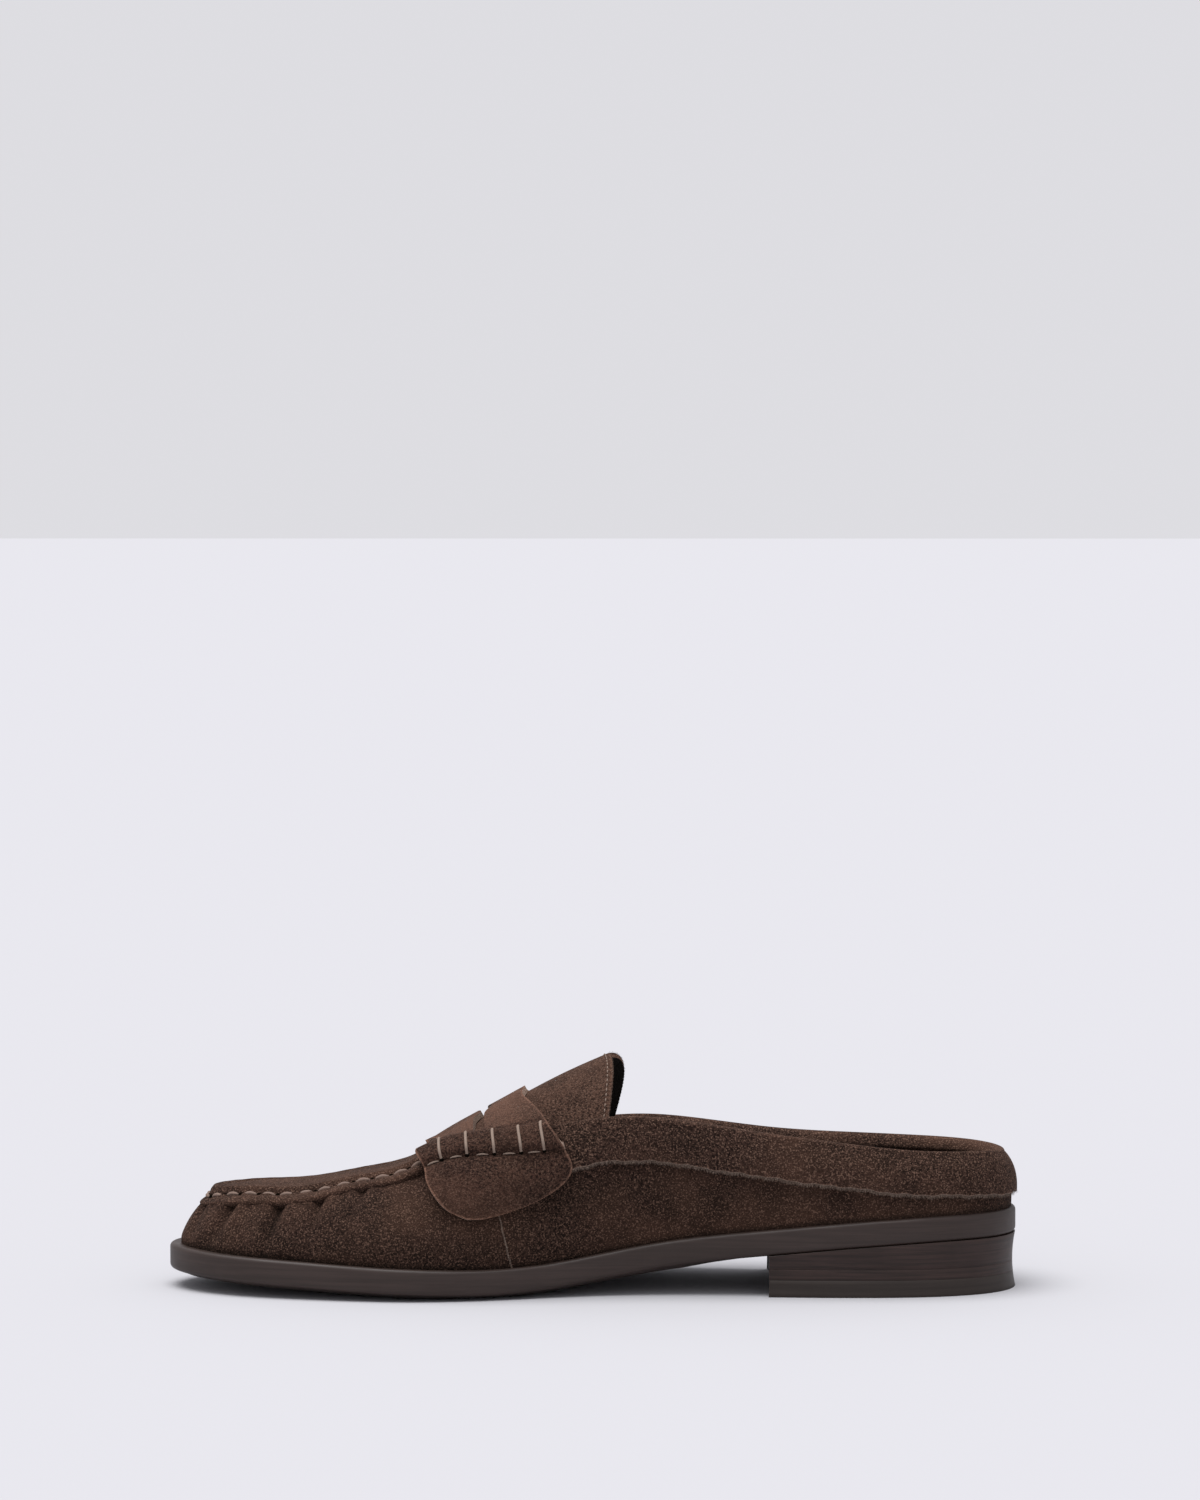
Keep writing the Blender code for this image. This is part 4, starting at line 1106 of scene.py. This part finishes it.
# the tongue takes the lighter copy of the suede, painted light on its top
tongue = new_piece("tongue", tongue_skin,
                   [face[::-1] for face in grid_faces(*tongue_skin.shape[:2])],
                   [LIT_SUEDE_TONGUE, SHADED_LINING], tongue_tone, weld=3e-5)
thicken(tongue, PLUG_THICKNESS, inner=1)
join_frame(tongue, "suede_apron", "apron_tongue")

# %% [markdown]
# The strap is one sheet: two bands over the instep with a slot between, and a
# rounded wing on each side. Along the top of each wing the leather is rolled
# into a bead, and the thread is whipped over it.

# %% The saddle strap
front_at = smooth_curve([row.level for row in STRAP_EDGES],
                        [row.front for row in STRAP_EDGES])
rear_at = smooth_curve([row.level for row in STRAP_EDGES],
                       [row.rear for row in STRAP_EDGES])
ROLL_TOP = 0.0010
ROLL_FOOT = 0.0072
ROLL_STAND = 0.0026
ROLL_END = 0.0095
ROLL_CREASE = 0.0004
CUT_WIDTH = 0.0004
WING_SPLIT = 0.56
EDGE_TONE = 0.75
SNUG_END = 1.95
SNUG_RUN = 0.45
SLOT_ALONG = 0.627
SLOT_END = 0.0040
SLOT_HALF = 0.5 * SLOT_WIDTH / SOLE_LENGTH
AHEAD = 34
BEHIND = 40


def strap_rows():
    """Girth levels of the strap's rows on one side, close together at the roll."""
    bands = 1.0 - np.linspace(1.0, 0.25, 34)
    roll = np.linspace(0.75, 1.0 + ROLL_END / WING_DROP, 68)[1:]
    wing = 1.0 + np.linspace(ROLL_END, WING_DROP - 1.5 * CUT_WIDTH, 36)[1:] / WING_DROP
    cut = 2.0 - np.array((CUT_WIDTH, 0.0)) / WING_DROP
    return np.concatenate((bands, roll, wing, cut))


def strap_columns(levels):
    """Places along the shoe of the strap's columns at each level."""
    front, rear = front_at(levels), rear_at(levels)
    middle = np.where(levels <= 1.0, SLOT_ALONG, front + WING_SPLIT * (rear - front))
    ahead = np.concatenate(([0.0, 0.018], np.linspace(0.027, 1.0, AHEAD - 2)))
    behind = np.concatenate((np.linspace(0.0, 0.973, BEHIND - 2), [0.982, 1.0]))
    first = front[:, None] + ahead * (middle + SLOT_HALF - front)[:, None]
    second = (middle - SLOT_HALF)[:, None] + behind * (rear - middle + SLOT_HALF)[:, None]
    return np.concatenate((first, second), axis=1)


def strap_side(side):
    """Skin, signed seam distance and places of the strap on one side."""
    levels = strap_rows()
    along = strap_columns(levels)
    angle = angle_of(side, along)
    skin = across_seam(angle, np.broadcast_to(levels[:, None], along.shape))
    base, crown = arch_ends(angle)
    climb = np.linalg.norm(crown - base, axis=-1) * np.clip(1.0 - levels, 0.0, 1.0)[:, None]
    drop = np.clip(levels - 1.0, 0.0, None)[:, None] * WING_DROP
    return levels, along, skin, climb - drop


strap_grids = []
for side in ("medial", "lateral"):
    levels, along, skin, walk = strap_side(side)
    normal = grid_normals(skin, blur=5)
    if side == "medial":
        normal = -normal
    up = np.array((0.0, 0.0, 1.0))
    flat = ramp(1.0 - levels, 0.55, 0.95)[:, None, None]
    normal = normal * (1.0 - flat) + up * flat
    normal = normal / np.linalg.norm(normal, axis=-1, keepdims=True)
    snug = np.clip((SNUG_END - levels) / SNUG_RUN, 0.0, 1.0)[:, None]
    lift = STRAP_THICKNESS + GAP + PLUG_LIFT * snug
    inside = np.clip((walk + ROLL_FOOT) / (ROLL_TOP + ROLL_FOOT), 0.0, 1.0)
    bead = np.clip(1.0 - np.abs(2.0 * inside - 1.0) ** 3.0, 0.0, 1.0) ** 0.5
    roll = ROLL_STAND * bead
    crease = -ROLL_CREASE * np.exp(-((walk + ROLL_FOOT + 0.0003) / 0.0006) ** 2)
    height = lift + roll + crease
    points = skin + normal * height[..., None]
    # painted shade in the creases at the roll's foot and just above its top, a painted
    # highlight along the roll's crest, and painted light on the bands' tops over the instep
    tone = -0.50 * np.exp(-((walk + ROLL_FOOT + 0.0002) / 0.0005) ** 2)
    tone += -0.60 * np.exp(-((walk - ROLL_TOP - 0.0002) / 0.0005) ** 2)
    tone += 0.40 * ramp(walk, ROLL_TOP + 0.0008, ROLL_TOP + 0.0030)
    tone += 0.30 * np.exp(-((walk - ROLL_TOP + 0.0012) / 0.0006) ** 2)
    border = np.concatenate((points[:, 0], points[:, -1], points[-1]))
    away = np.array([np.linalg.norm(row[:, None] - border, axis=-1).min(axis=-1)
                     for row in points])
    tone = np.maximum(tone, EDGE_TONE * (1.0 - ramp(away, 0.00035, 0.0007)))
    strap_grids.append((points, tone, normal, walk))
medial_points, medial_tone = strap_grids[0][0][::-1], strap_grids[0][1][::-1]
lateral_points, lateral_tone = strap_grids[1][0][1:], strap_grids[1][1][1:]
strap_points = np.concatenate((medial_points, lateral_points))
strap_tone = np.concatenate((medial_tone, lateral_tone))
row_walks = np.concatenate((strap_grids[0][3][::-1], strap_grids[1][3][1:]))
skip = np.zeros((len(strap_points), AHEAD + BEHIND), bool)
in_slot = row_walks[:, AHEAD - 1] > SLOT_END
skip[:-1, AHEAD - 1] = in_slot[:-1] & in_slot[1:]
strap = new_piece("saddle_strap_leather", strap_points,
                  grid_faces(*strap_points.shape[:2], skip=skip),
                  [SUEDE_STRAP, RAW_EDGE], strap_tone, weld=2e-5)
thicken(strap, STRAP_THICKNESS, rim=1)
join_frame(strap, "suede_strap", "saddle_strap")

# %% [markdown]
# The collar band is folded over the top edge. Its lower edge is cut raw and
# a little wavy, so it is lighter and frayed. The fold's top carries a painted
# highlight, and the band inside the shoe is darkened as painted shade.

# %% The collar band
band_angles = np.linspace(float(angle_of("medial", BAND_START)),
                          float(angle_of("lateral", BAND_START)) - TURN, 560)
band_walk = reach_of(band_angles)
behind_start = (BAND_START - top_along_at(band_angles)) * SOLE_LENGTH
flare = np.clip(1.0 - behind_start / BAND_FLARE_LENGTH, 0.0, 1.0)
ragged = (np.sin(band_walk / 0.0047) + np.sin(band_walk / 0.0021 + 1.0)
          + 1.0 * np.sin(band_walk / 0.0009 + 2.0))
band_width = BAND_WIDTH + BAND_FLARE * flare ** 1.5 + 0.00014 * ragged
under = GAP + 0.0001
over = under + BAND_THICKNESS
steps = np.concatenate((np.linspace(1.0, 0.9, 5), np.linspace(0.85, 0.0, 16)))
band_rows = []
band_tones = []
for share in steps:
    puffed = over + 0.0005 * math.sin(math.pi * share) - 0.0003 * (share > 0.99)
    band_rows.append((share * band_width, puffed, 0.0))
    band_tones.append(0.45 if share > 0.97 else 0.0)
# the fold: a painted highlight on its top and painted shade on its inner side
for turn in np.linspace(0.0, math.pi, 14)[1:-1]:
    reach_in = WALL + under + BAND_THICKNESS
    centre = 0.5 * (over - reach_in)
    half = 0.5 * (over + reach_in)
    band_rows.append((0.0 * band_width, centre + half * math.cos(turn),
                      (under + BAND_THICKNESS) * math.sin(turn)))
    band_tones.append(0.22 * math.sin(turn) - 0.40 * max(0.0, -math.cos(turn)))
# the band inside the shoe: painted shade
for share in np.linspace(0.0, 1.0, 7):
    band_rows.append((share * BAND_INSIDE + 0.0 * band_width,
                      -(WALL + under + BAND_THICKNESS * (1.0 - 0.3 * share)), 0.0))
    band_tones.append(-0.40)
band_rows.append((BAND_INSIDE + 0.0 * band_width, -(WALL + under), 0.0))
band_tones.append(-0.5)


def band_point(drops, offset, lift):
    """A row of the band, off the wall by an offset and lifted."""
    low = np.stack((np.maximum(drops - 0.0004, 0.0), np.maximum(drops, 0.0004) + 0.0004))
    pair = wall_at(np.broadcast_to(band_angles, low.shape), low)
    turned = wall_at(np.stack((band_angles - 0.002, band_angles + 0.002)),
                     np.broadcast_to(drops, low.shape))
    normal = np.cross(turned[1] - turned[0], pair[1] - pair[0])
    normal /= np.linalg.norm(normal, axis=-1, keepdims=True)
    return (wall_at(band_angles, drops) + normal * offset
            + np.array((0.0, 0.0, lift)))


raw_foot = band_point(band_rows[0][0] + 0.00002, under, 0.0)
band_grid = np.array([raw_foot] + [band_point(*row) for row in band_rows])
band_tone = np.broadcast_to(np.array([0.45] + band_tones)[:, None], band_grid.shape[:2])
band = new_piece("collar_band_leather", band_grid, grid_faces(*band_grid.shape[:2]),
                 [SUEDE, RAW_EDGE], band_tone)
for polygon in band.data.polygons:
    if polygon.index < 2 * (len(band_angles) - 1):
        polygon.material_index = 1
join_frame(band, "suede_band", "collar_band")

# %% [markdown]
# Thread and frayed fibres repeat many times, so one Geometry Nodes tree lays
# a template at each point, along its heading and standing on its surface.


# %% The sewing tree
def sewing_tree():
    """Lay the template on every point, then make it real."""
    tree = bpy.data.node_groups.new("sewing", "GeometryNodeTree")
    face = tree.interface
    for name, kind in (("Points", "NodeSocketGeometry"), ("Template", "NodeSocketObject"),
                       ("Finish", "NodeSocketMaterial"), ("Smallest", "NodeSocketFloat"),
                       ("Largest", "NodeSocketFloat"), ("Seed", "NodeSocketInt")):
        face.new_socket(name, in_out="INPUT", socket_type=kind)
    face.new_socket("Laid", in_out="OUTPUT", socket_type="NodeSocketGeometry")
    nodes, links = tree.nodes, tree.links
    given = nodes.new("NodeGroupInput")
    made = nodes.new("NodeGroupOutput")
    template = nodes.new("GeometryNodeObjectInfo")
    template.inputs["As Instance"].default_value = True
    links.new(given.outputs["Template"], template.inputs["Object"])
    turned = None
    for name, axis in (("heading", "X"), ("standing", "Z")):
        read = nodes.new("GeometryNodeInputNamedAttribute")
        read.data_type = "FLOAT_VECTOR"
        read.inputs["Name"].default_value = name
        align = nodes.new("FunctionNodeAlignRotationToVector")
        align.axis = axis
        align.pivot_axis = "AUTO" if turned is None else "X"
        links.new(read.outputs["Attribute"], align.inputs["Vector"])
        if turned is not None:
            links.new(turned, align.inputs["Rotation"])
        turned = align.outputs["Rotation"]
    size = nodes.new("FunctionNodeRandomValue")
    size.data_type = "FLOAT"
    links.new(given.outputs["Smallest"], size.inputs[2])
    links.new(given.outputs["Largest"], size.inputs[3])
    links.new(given.outputs["Seed"], size.inputs["Seed"])
    lay = nodes.new("GeometryNodeInstanceOnPoints")
    links.new(given.outputs["Points"], lay.inputs["Points"])
    links.new(template.outputs["Geometry"], lay.inputs["Instance"])
    links.new(turned, lay.inputs["Rotation"])
    links.new(size.outputs[1], lay.inputs["Scale"])
    real = nodes.new("GeometryNodeRealizeInstances")
    links.new(lay.outputs["Instances"], real.inputs["Geometry"])
    paint = nodes.new("GeometryNodeSetMaterial")
    links.new(real.outputs["Geometry"], paint.inputs["Geometry"])
    links.new(given.outputs["Finish"], paint.inputs["Material"])
    links.new(paint.outputs["Geometry"], made.inputs["Laid"])
    return tree


SEWING = sewing_tree()


def sew(name, places, headings, standings, template, finish, smallest=1.0, largest=1.0,
        seed=3):
    """A piece made of the template laid at each place."""
    mesh = bpy.data.meshes.new(name)
    mesh.from_pydata([tuple(place) for place in places], [], [])
    for key, values in (("heading", headings), ("standing", standings)):
        layer = mesh.attributes.new(key, "FLOAT_VECTOR", "POINT")
        layer.data.foreach_set("vector", np.asarray(values, np.float32).ravel())
    piece = bpy.data.objects.new(name, mesh)
    bpy.context.scene.collection.objects.link(piece)
    modifier = piece.modifiers.new("sewing", "NODES")
    modifier.node_group = SEWING
    given = {"Template": template, "Finish": finish, "Smallest": smallest,
             "Largest": largest, "Seed": seed}
    for item in SEWING.interface.items_tree:
        if item.in_out == "INPUT" and item.name in given:
            modifier[item.identifier] = given[item.name]
    piece.update_tag()
    settle(piece)
    piece.data.shade_smooth()
    return piece


def stitch_template(name, length, thick, arch, sides=8, stations=9):
    """One stitch along X: a strand that rises from the leather and goes back in."""
    points, faces = [], []
    for i in range(stations):
        share = i / (stations - 1)
        x = length * (share - 0.5)
        lift = arch * (1.0 - (2.0 * share - 1.0) ** 2) - 0.35 * thick
        taper = 0.5 * thick * (0.55 + 0.45 * math.sin(math.pi * share))
        for k in range(sides):
            turn = TURN * k / sides
            points.append((x, taper * math.cos(turn), lift + taper * math.sin(turn)))
    faces += [face[::-1] for face in grid_faces(stations, sides, wrap=True)]
    faces.append(tuple(range(sides)))
    faces.append(tuple((stations - 1) * sides + k for k in reversed(range(sides))))
    mesh = bpy.data.meshes.new(name)
    mesh.from_pydata(points, [], faces)
    template = bpy.data.objects.new(name, mesh)
    return template


print("sewing tree has", len(SEWING.nodes), "nodes")


# %% [markdown]
# The seam's stitches lie in the groove, six millimetres apart. The whip
# stitches go over the roll, and finer thread runs under it and along the
# tongue's end.

# %% Thread
STITCH_LENGTH = 0.0044
STITCH_THICK = 0.0013
STITCH_ARCH = 0.0005
STITCH_STAND = 0.0005
HOLE_STAND = 0.0004
STITCHED_TO_X = -0.045


def seam_frame(reaches):
    """Places in the seam's groove, with the way along and the way out."""
    index = np.interp(angle_at(reaches), apron_angles, np.arange(len(apron_angles)))
    row = SHARES - 1
    low = np.clip(index.astype(int), 1, len(apron_angles) - 3)
    share = (index - low)[:, None]
    line = surface[row]
    place = line[low] * (1 - share) + line[low + 1] * share
    heading = line[low + 2] - line[low - 1]
    return place, heading, seam_normal[row][low]


last_medial = reach_at_x(STITCHED_TO_X, "medial")
last_lateral = reach_at_x(STITCHED_TO_X, "lateral")
before = np.arange(FIRST_STITCH, last_medial, -STITCH_PITCH)
after = np.arange(FIRST_STITCH + STITCH_PITCH, last_lateral, STITCH_PITCH)
stitch_reaches = np.concatenate((before[::-1], after))
place, heading, standing = seam_frame(stitch_reaches)
place = place + STITCH_STAND * standing
seam_stitch = stitch_template("seam_stitch_template", STITCH_LENGTH, STITCH_THICK,
                              STITCH_ARCH)
seam_thread = sew("seam_stitches", place, heading, standing, seam_stitch, SEAM_THREAD,
                  0.92, 1.06)
join_frame(seam_thread, "suede_apron")
# near-black spots between the seam's stitches: painted shade in the needle holes
hole_places, hole_heads, hole_stands = seam_frame(stitch_reaches + 0.5 * STITCH_PITCH)
hole_places = hole_places + HOLE_STAND * hole_stands
hole = stitch_template("seam_hole_template", 0.0019, 0.0018, 0.0002)
seam_holes = sew("seam_holes", hole_places, hole_heads, hole_stands, hole, HOLE_SHADE)
join_frame(seam_holes, "suede_apron")

# whip stitches and running stitches of the roll
WHIP_ALONGS = {"medial": (0.6690, 0.6415, 0.6110, 0.5800, 0.5530),
               "lateral": (0.6690, 0.6415, 0.6110, 0.5800, 0.5550)}
WHIP_STEPS = 25
WHIP_SIDES = 8
WHIP_HIGH = 0.00042
WHIP_WIDE = 0.00046
FIRST_DASH = 0.020
DASH_HALF = 0.002
strap_alongs = strap_columns(strap_rows())


def roll_place(grid, along, walks):
    """Points and normals of the strap at one place along it, by seam distance."""
    points, _, normal, walk = grid
    line = []
    for r in range(len(points)):
        order = np.argsort(strap_alongs[r])
        whole = np.concatenate((points[r], normal[r], walk[r][:, None]), axis=1)[order]
        line.append([np.interp(along, strap_alongs[r][order], whole[:, k])
                     for k in range(7)])
    line = np.array(line)
    found = np.stack([np.interp(-np.asarray(walks), -line[:, 6], line[:, k])
                      for k in range(6)], axis=-1)
    return found[:, :3], found[:, 3:]


def smoothed(line):
    """A line with its kinks eased, ends kept."""
    for _ in range(3):
        line[1:-1] = 0.25 * line[:-2] + 0.5 * line[1:-1] + 0.25 * line[2:]
    return line


def unit(vectors):
    """The same directions, one long."""
    return vectors / np.linalg.norm(vectors, axis=-1, keepdims=True)


whip_points, whip_faces = [], []
dash_places, dash_heads, dash_stands = [], [], []
pit_places, pit_heads, pit_stands = [], [], []
for grid, side in zip(strap_grids, ("medial", "lateral")):
    for along in WHIP_ALONGS[side]:
        over_roll = np.linspace(ROLL_TOP + 0.0002, -ROLL_FOOT - 0.0002, WHIP_STEPS)
        centre, outward = roll_place(grid, along, over_roll)
        centre = smoothed(centre)
        forward = unit(np.gradient(centre, axis=0))
        across = unit(np.cross(forward, outward))
        start = len(whip_points)
        for p, n, a in zip(centre, outward, across):
            for k in range(WHIP_SIDES):
                turn = TURN * k / WHIP_SIDES
                whip_points.append(p + n * (0.0001 + WHIP_HIGH * math.sin(turn))
                                   + a * WHIP_WIDE * math.cos(turn))
        whip_faces += [tuple(start + i for i in face)
                       for face in grid_faces(WHIP_STEPS, WHIP_SIDES, wrap=True)]
        pit_places.append(centre[-1] + outward[-1] * 0.0003)
        pit_heads.append(forward[-1])
        pit_stands.append(outward[-1])
    stops = sorted(WHIP_ALONGS[side], reverse=True)
    stops = [stops[0] + FIRST_DASH] + stops
    for a, b in zip(stops[:-1], stops[1:]):
        target = 0.45 * a + 0.55 * b
        pair, outward = roll_place(grid, target + DASH_HALF, [-ROLL_FOOT - 0.0001])
        near, _ = roll_place(grid, target - DASH_HALF, [-ROLL_FOOT - 0.0001])
        dash_places.append(0.5 * (pair[0] + near[0]) + 0.0002 * outward[0])
        dash_heads.append(near[0] - pair[0])
        dash_stands.append(outward[0])
whips = new_piece("whip_stitches", whip_points, whip_faces, [THREAD], weld=1e-7)
join_frame(whips, "suede_strap")
dash = stitch_template("roll_dash_template", 0.0036, 0.0006, 0.0003)
roll_dashes = sew("roll_dashes", dash_places, dash_heads, dash_stands, dash, THREAD, 0.8, 1.1)
join_frame(roll_dashes, "suede_strap")
# near-black spots at the whip stitches' ends: painted shade in their holes
pit = stitch_template("roll_hole_template", 0.0018, 0.0015, 0.0001)
roll_holes = sew("roll_holes", pit_places, pit_heads, pit_stands, pit, HOLE_SHADE)
join_frame(roll_holes, "suede_strap")

# the fine stitches along the tongue's end
edge_line = tongue_skin[stitch_row]
edge_normal = -grid_normals(tongue_skin)[stitch_row]
edge_walk = np.concatenate(([0.0], np.cumsum(
    np.linalg.norm(np.diff(edge_line, axis=0), axis=-1))))
fine_places, fine_heads, fine_stands = [], [], []
for w in np.arange(0.002, edge_walk[-1] - 0.002, 0.0019):
    at = [float(np.interp(w, edge_walk, edge_line[:, k])) for k in range(3)]
    c = int(np.clip(np.searchsorted(edge_walk, w), 1, len(edge_line) - 2))
    fine_places.append(np.array(at) + 0.0001 * edge_normal[c])
    fine_heads.append(edge_line[c + 1] - edge_line[c - 1])
    fine_stands.append(edge_normal[c])
fine = stitch_template("tongue_stitch_template", 0.0012, 0.0004, 0.0002, 6, 5)
tongue_thread = sew("tongue_stitches", fine_places, fine_heads, fine_stands, fine, THREAD)
join_frame(tongue_thread, "suede_apron")

# %% [markdown]
# The side seam shows as a thin raw edge, and the raw edges of the band and
# the tongue are frayed by short fibres.

# %% Side seams and frayed edges
seam_points, seam_faces = [], []
for side in ("medial", "lateral"):
    shares = np.linspace(0.0, 1.0, 60)
    xs = side_seam_x(side, shares)
    half = (columns < math.pi) if side == "medial" else (columns >= math.pi)
    start = len(seam_points)
    for share, x in zip(shares, xs):
        row = int(round(share * (WALL_ROWS - 1)))
        line, out = outer[row][half], wall_normal[row][half]
        order = np.argsort(line[:, 0])
        centre = np.array([np.interp(x, line[order, 0], line[order, k]) for k in range(3)])
        normal = np.array([np.interp(x, line[order, 0], out[order, k]) for k in range(3)])
        forward = np.array((1.0, 0.0, 0.0))
        wobble = 0.00008 * math.sin(70.0 * share)
        for shift, lift in ((-0.00030, -0.0002), (-0.00025, 0.00030),
                            (0.00010, 0.00042), (0.00035, -0.0001)):
            seam_points.append(centre + forward * (shift + wobble) + normal * lift)
    for i in range(len(shares) - 1):
        for k in range(3):
            seam_faces.append((start + i * 4 + k, start + i * 4 + k + 1,
                               start + (i + 1) * 4 + k + 1, start + (i + 1) * 4 + k))
side_seams = new_piece("side_seam_edges", seam_points, seam_faces, [RAW_EDGE], weld=1e-7)
join_frame(side_seams, "suede")


def fibre_template(name, length, width):
    """A bent tapering fibre along X."""
    mesh = bpy.data.meshes.new(name)
    mesh.from_pydata([(0.0, -width, 0.0), (0.0, width, 0.0),
                      (0.5 * length, 0.6 * width, 0.22 * length),
                      (0.5 * length, -0.6 * width, 0.22 * length),
                      (length, 0.0, 0.30 * length)], [],
                     [(0, 3, 2, 1), (3, 4, 2)])
    return bpy.data.objects.new(name, mesh)


def fray(name, line, away, out, spacing, slot_name, template, seed):
    """Fibres along a raw edge, pointing away from it."""
    chance = np.random.default_rng(seed)
    walk = np.concatenate(([0.0], np.cumsum(np.linalg.norm(np.diff(line, axis=0), axis=-1))))
    spots = np.arange(0.0, walk[-1], spacing)
    spots = spots + chance.uniform(-spacing, spacing, len(spots))
    spots = np.clip(spots, 0.0, walk[-1])
    places = np.stack([np.interp(spots, walk, line[:, k]) for k in range(3)], axis=-1)
    ways = np.stack([np.interp(spots, walk, away[:, k]) for k in range(3)], axis=-1)
    outs = np.stack([np.interp(spots, walk, out[:, k]) for k in range(3)], axis=-1)
    places += outs * chance.uniform(-0.0004, 0.0003, (len(spots), 1))
    ways = ways + chance.normal(0.0, 0.45, ways.shape)
    piece = sew(name, places, ways, outs, template, RAW_EDGE, 0.5, 1.2, seed)
    return join_frame(piece, slot_name)


fibre = fibre_template("fibre_template", 0.0011, 0.00008)
band_edge = band_grid[1]
band_away = unit(band_grid[1] - band_grid[4])
band_out = unit(band_grid[1] - band_grid[0])
fray("band_fraying", band_edge, band_away, band_out, 0.00006, "suede_band", fibre, 11)
tongue_away = unit(tongue_skin[-1] - tongue_skin[-3])
short_fibre = fibre_template("short_fibre_template", 0.0005, 0.00006)
fray("tongue_fraying", tongue_skin[-1], tongue_away, edge_normal, 0.00018, "suede_apron",
     short_fibre, 12)

# %% [markdown]
# The stage is a pale floor under an even pale sky. One broad soft light stands
# overhead, and the floor's colour is set so that floor and sky look the same.

# %% Floor, light and camera
FIELD_COLOUR = (0.728, 0.724, 0.757)
FLOOR_SHARE = 0.478
FLOOR_REACH = 60.0
floor_points = [(x, y, 0.0) for y in (-FLOOR_REACH, FLOOR_REACH)
                for x in (-FLOOR_REACH, FLOOR_REACH)]
floor_mesh = bpy.data.meshes.new("studio_floor")
floor_mesh.from_pydata(floor_points, [], [(0, 1, 3, 2)])
floor = bpy.data.objects.new("studio_floor", floor_mesh)
bpy.context.scene.collection.objects.link(floor)
floor_nodes = Nodes("studio_floor")
floor_mesh.materials.append(floor_nodes.finish(
    tuple(FLOOR_SHARE * value / FIELD_COLOUR[1] for value in FIELD_COLOUR), 1.0,
    Specular_IOR_Level=0.0))

SUN_STRENGTH = 3.1
SUN_SOFTNESS = 50.0
SUN_WAY = (0.15, 0.12, -1.0)
overhead = bpy.data.lights.new("overhead", "SUN")
overhead.energy = SUN_STRENGTH
overhead.angle = math.radians(SUN_SOFTNESS)
overhead_holder = bpy.data.objects.new("overhead", overhead)
overhead_holder.rotation_euler = Vector(SUN_WAY).to_track_quat("-Z", "Y").to_euler()
bpy.context.scene.collection.objects.link(overhead_holder)
world = bpy.data.worlds.new("studio")
world.use_nodes = True
world.node_tree.nodes["Background"].inputs["Color"].default_value = (*FIELD_COLOUR, 1.0)
world.node_tree.nodes["Background"].inputs["Strength"].default_value = 1.0
bpy.context.scene.world = world
bpy.context.scene.view_settings.view_transform = "Standard"

CAMERA_YAW = math.radians(1.5)
CAMERA_PITCH = math.radians(2.59)
CAMERA_PLACE = (0.0441, -1.5995, 0.240)
CAMERA_LENS = 122.8
camera_data = bpy.data.cameras.new("camera")
camera_data.lens = CAMERA_LENS
camera_data.sensor_width = 36.0
camera_data.clip_start = 0.1
camera_data.clip_end = 200.0
camera = bpy.data.objects.new("camera", camera_data)
camera.location = CAMERA_PLACE
look = Vector((-math.sin(CAMERA_YAW) * math.cos(CAMERA_PITCH),
               math.cos(CAMERA_YAW) * math.cos(CAMERA_PITCH), -math.sin(CAMERA_PITCH)))
camera.rotation_euler = look.to_track_quat("-Z", "Y").to_euler()
bpy.context.scene.collection.objects.link(camera)
bpy.context.scene.camera = camera
print("floor, one soft light and the camera at", CAMERA_PLACE)
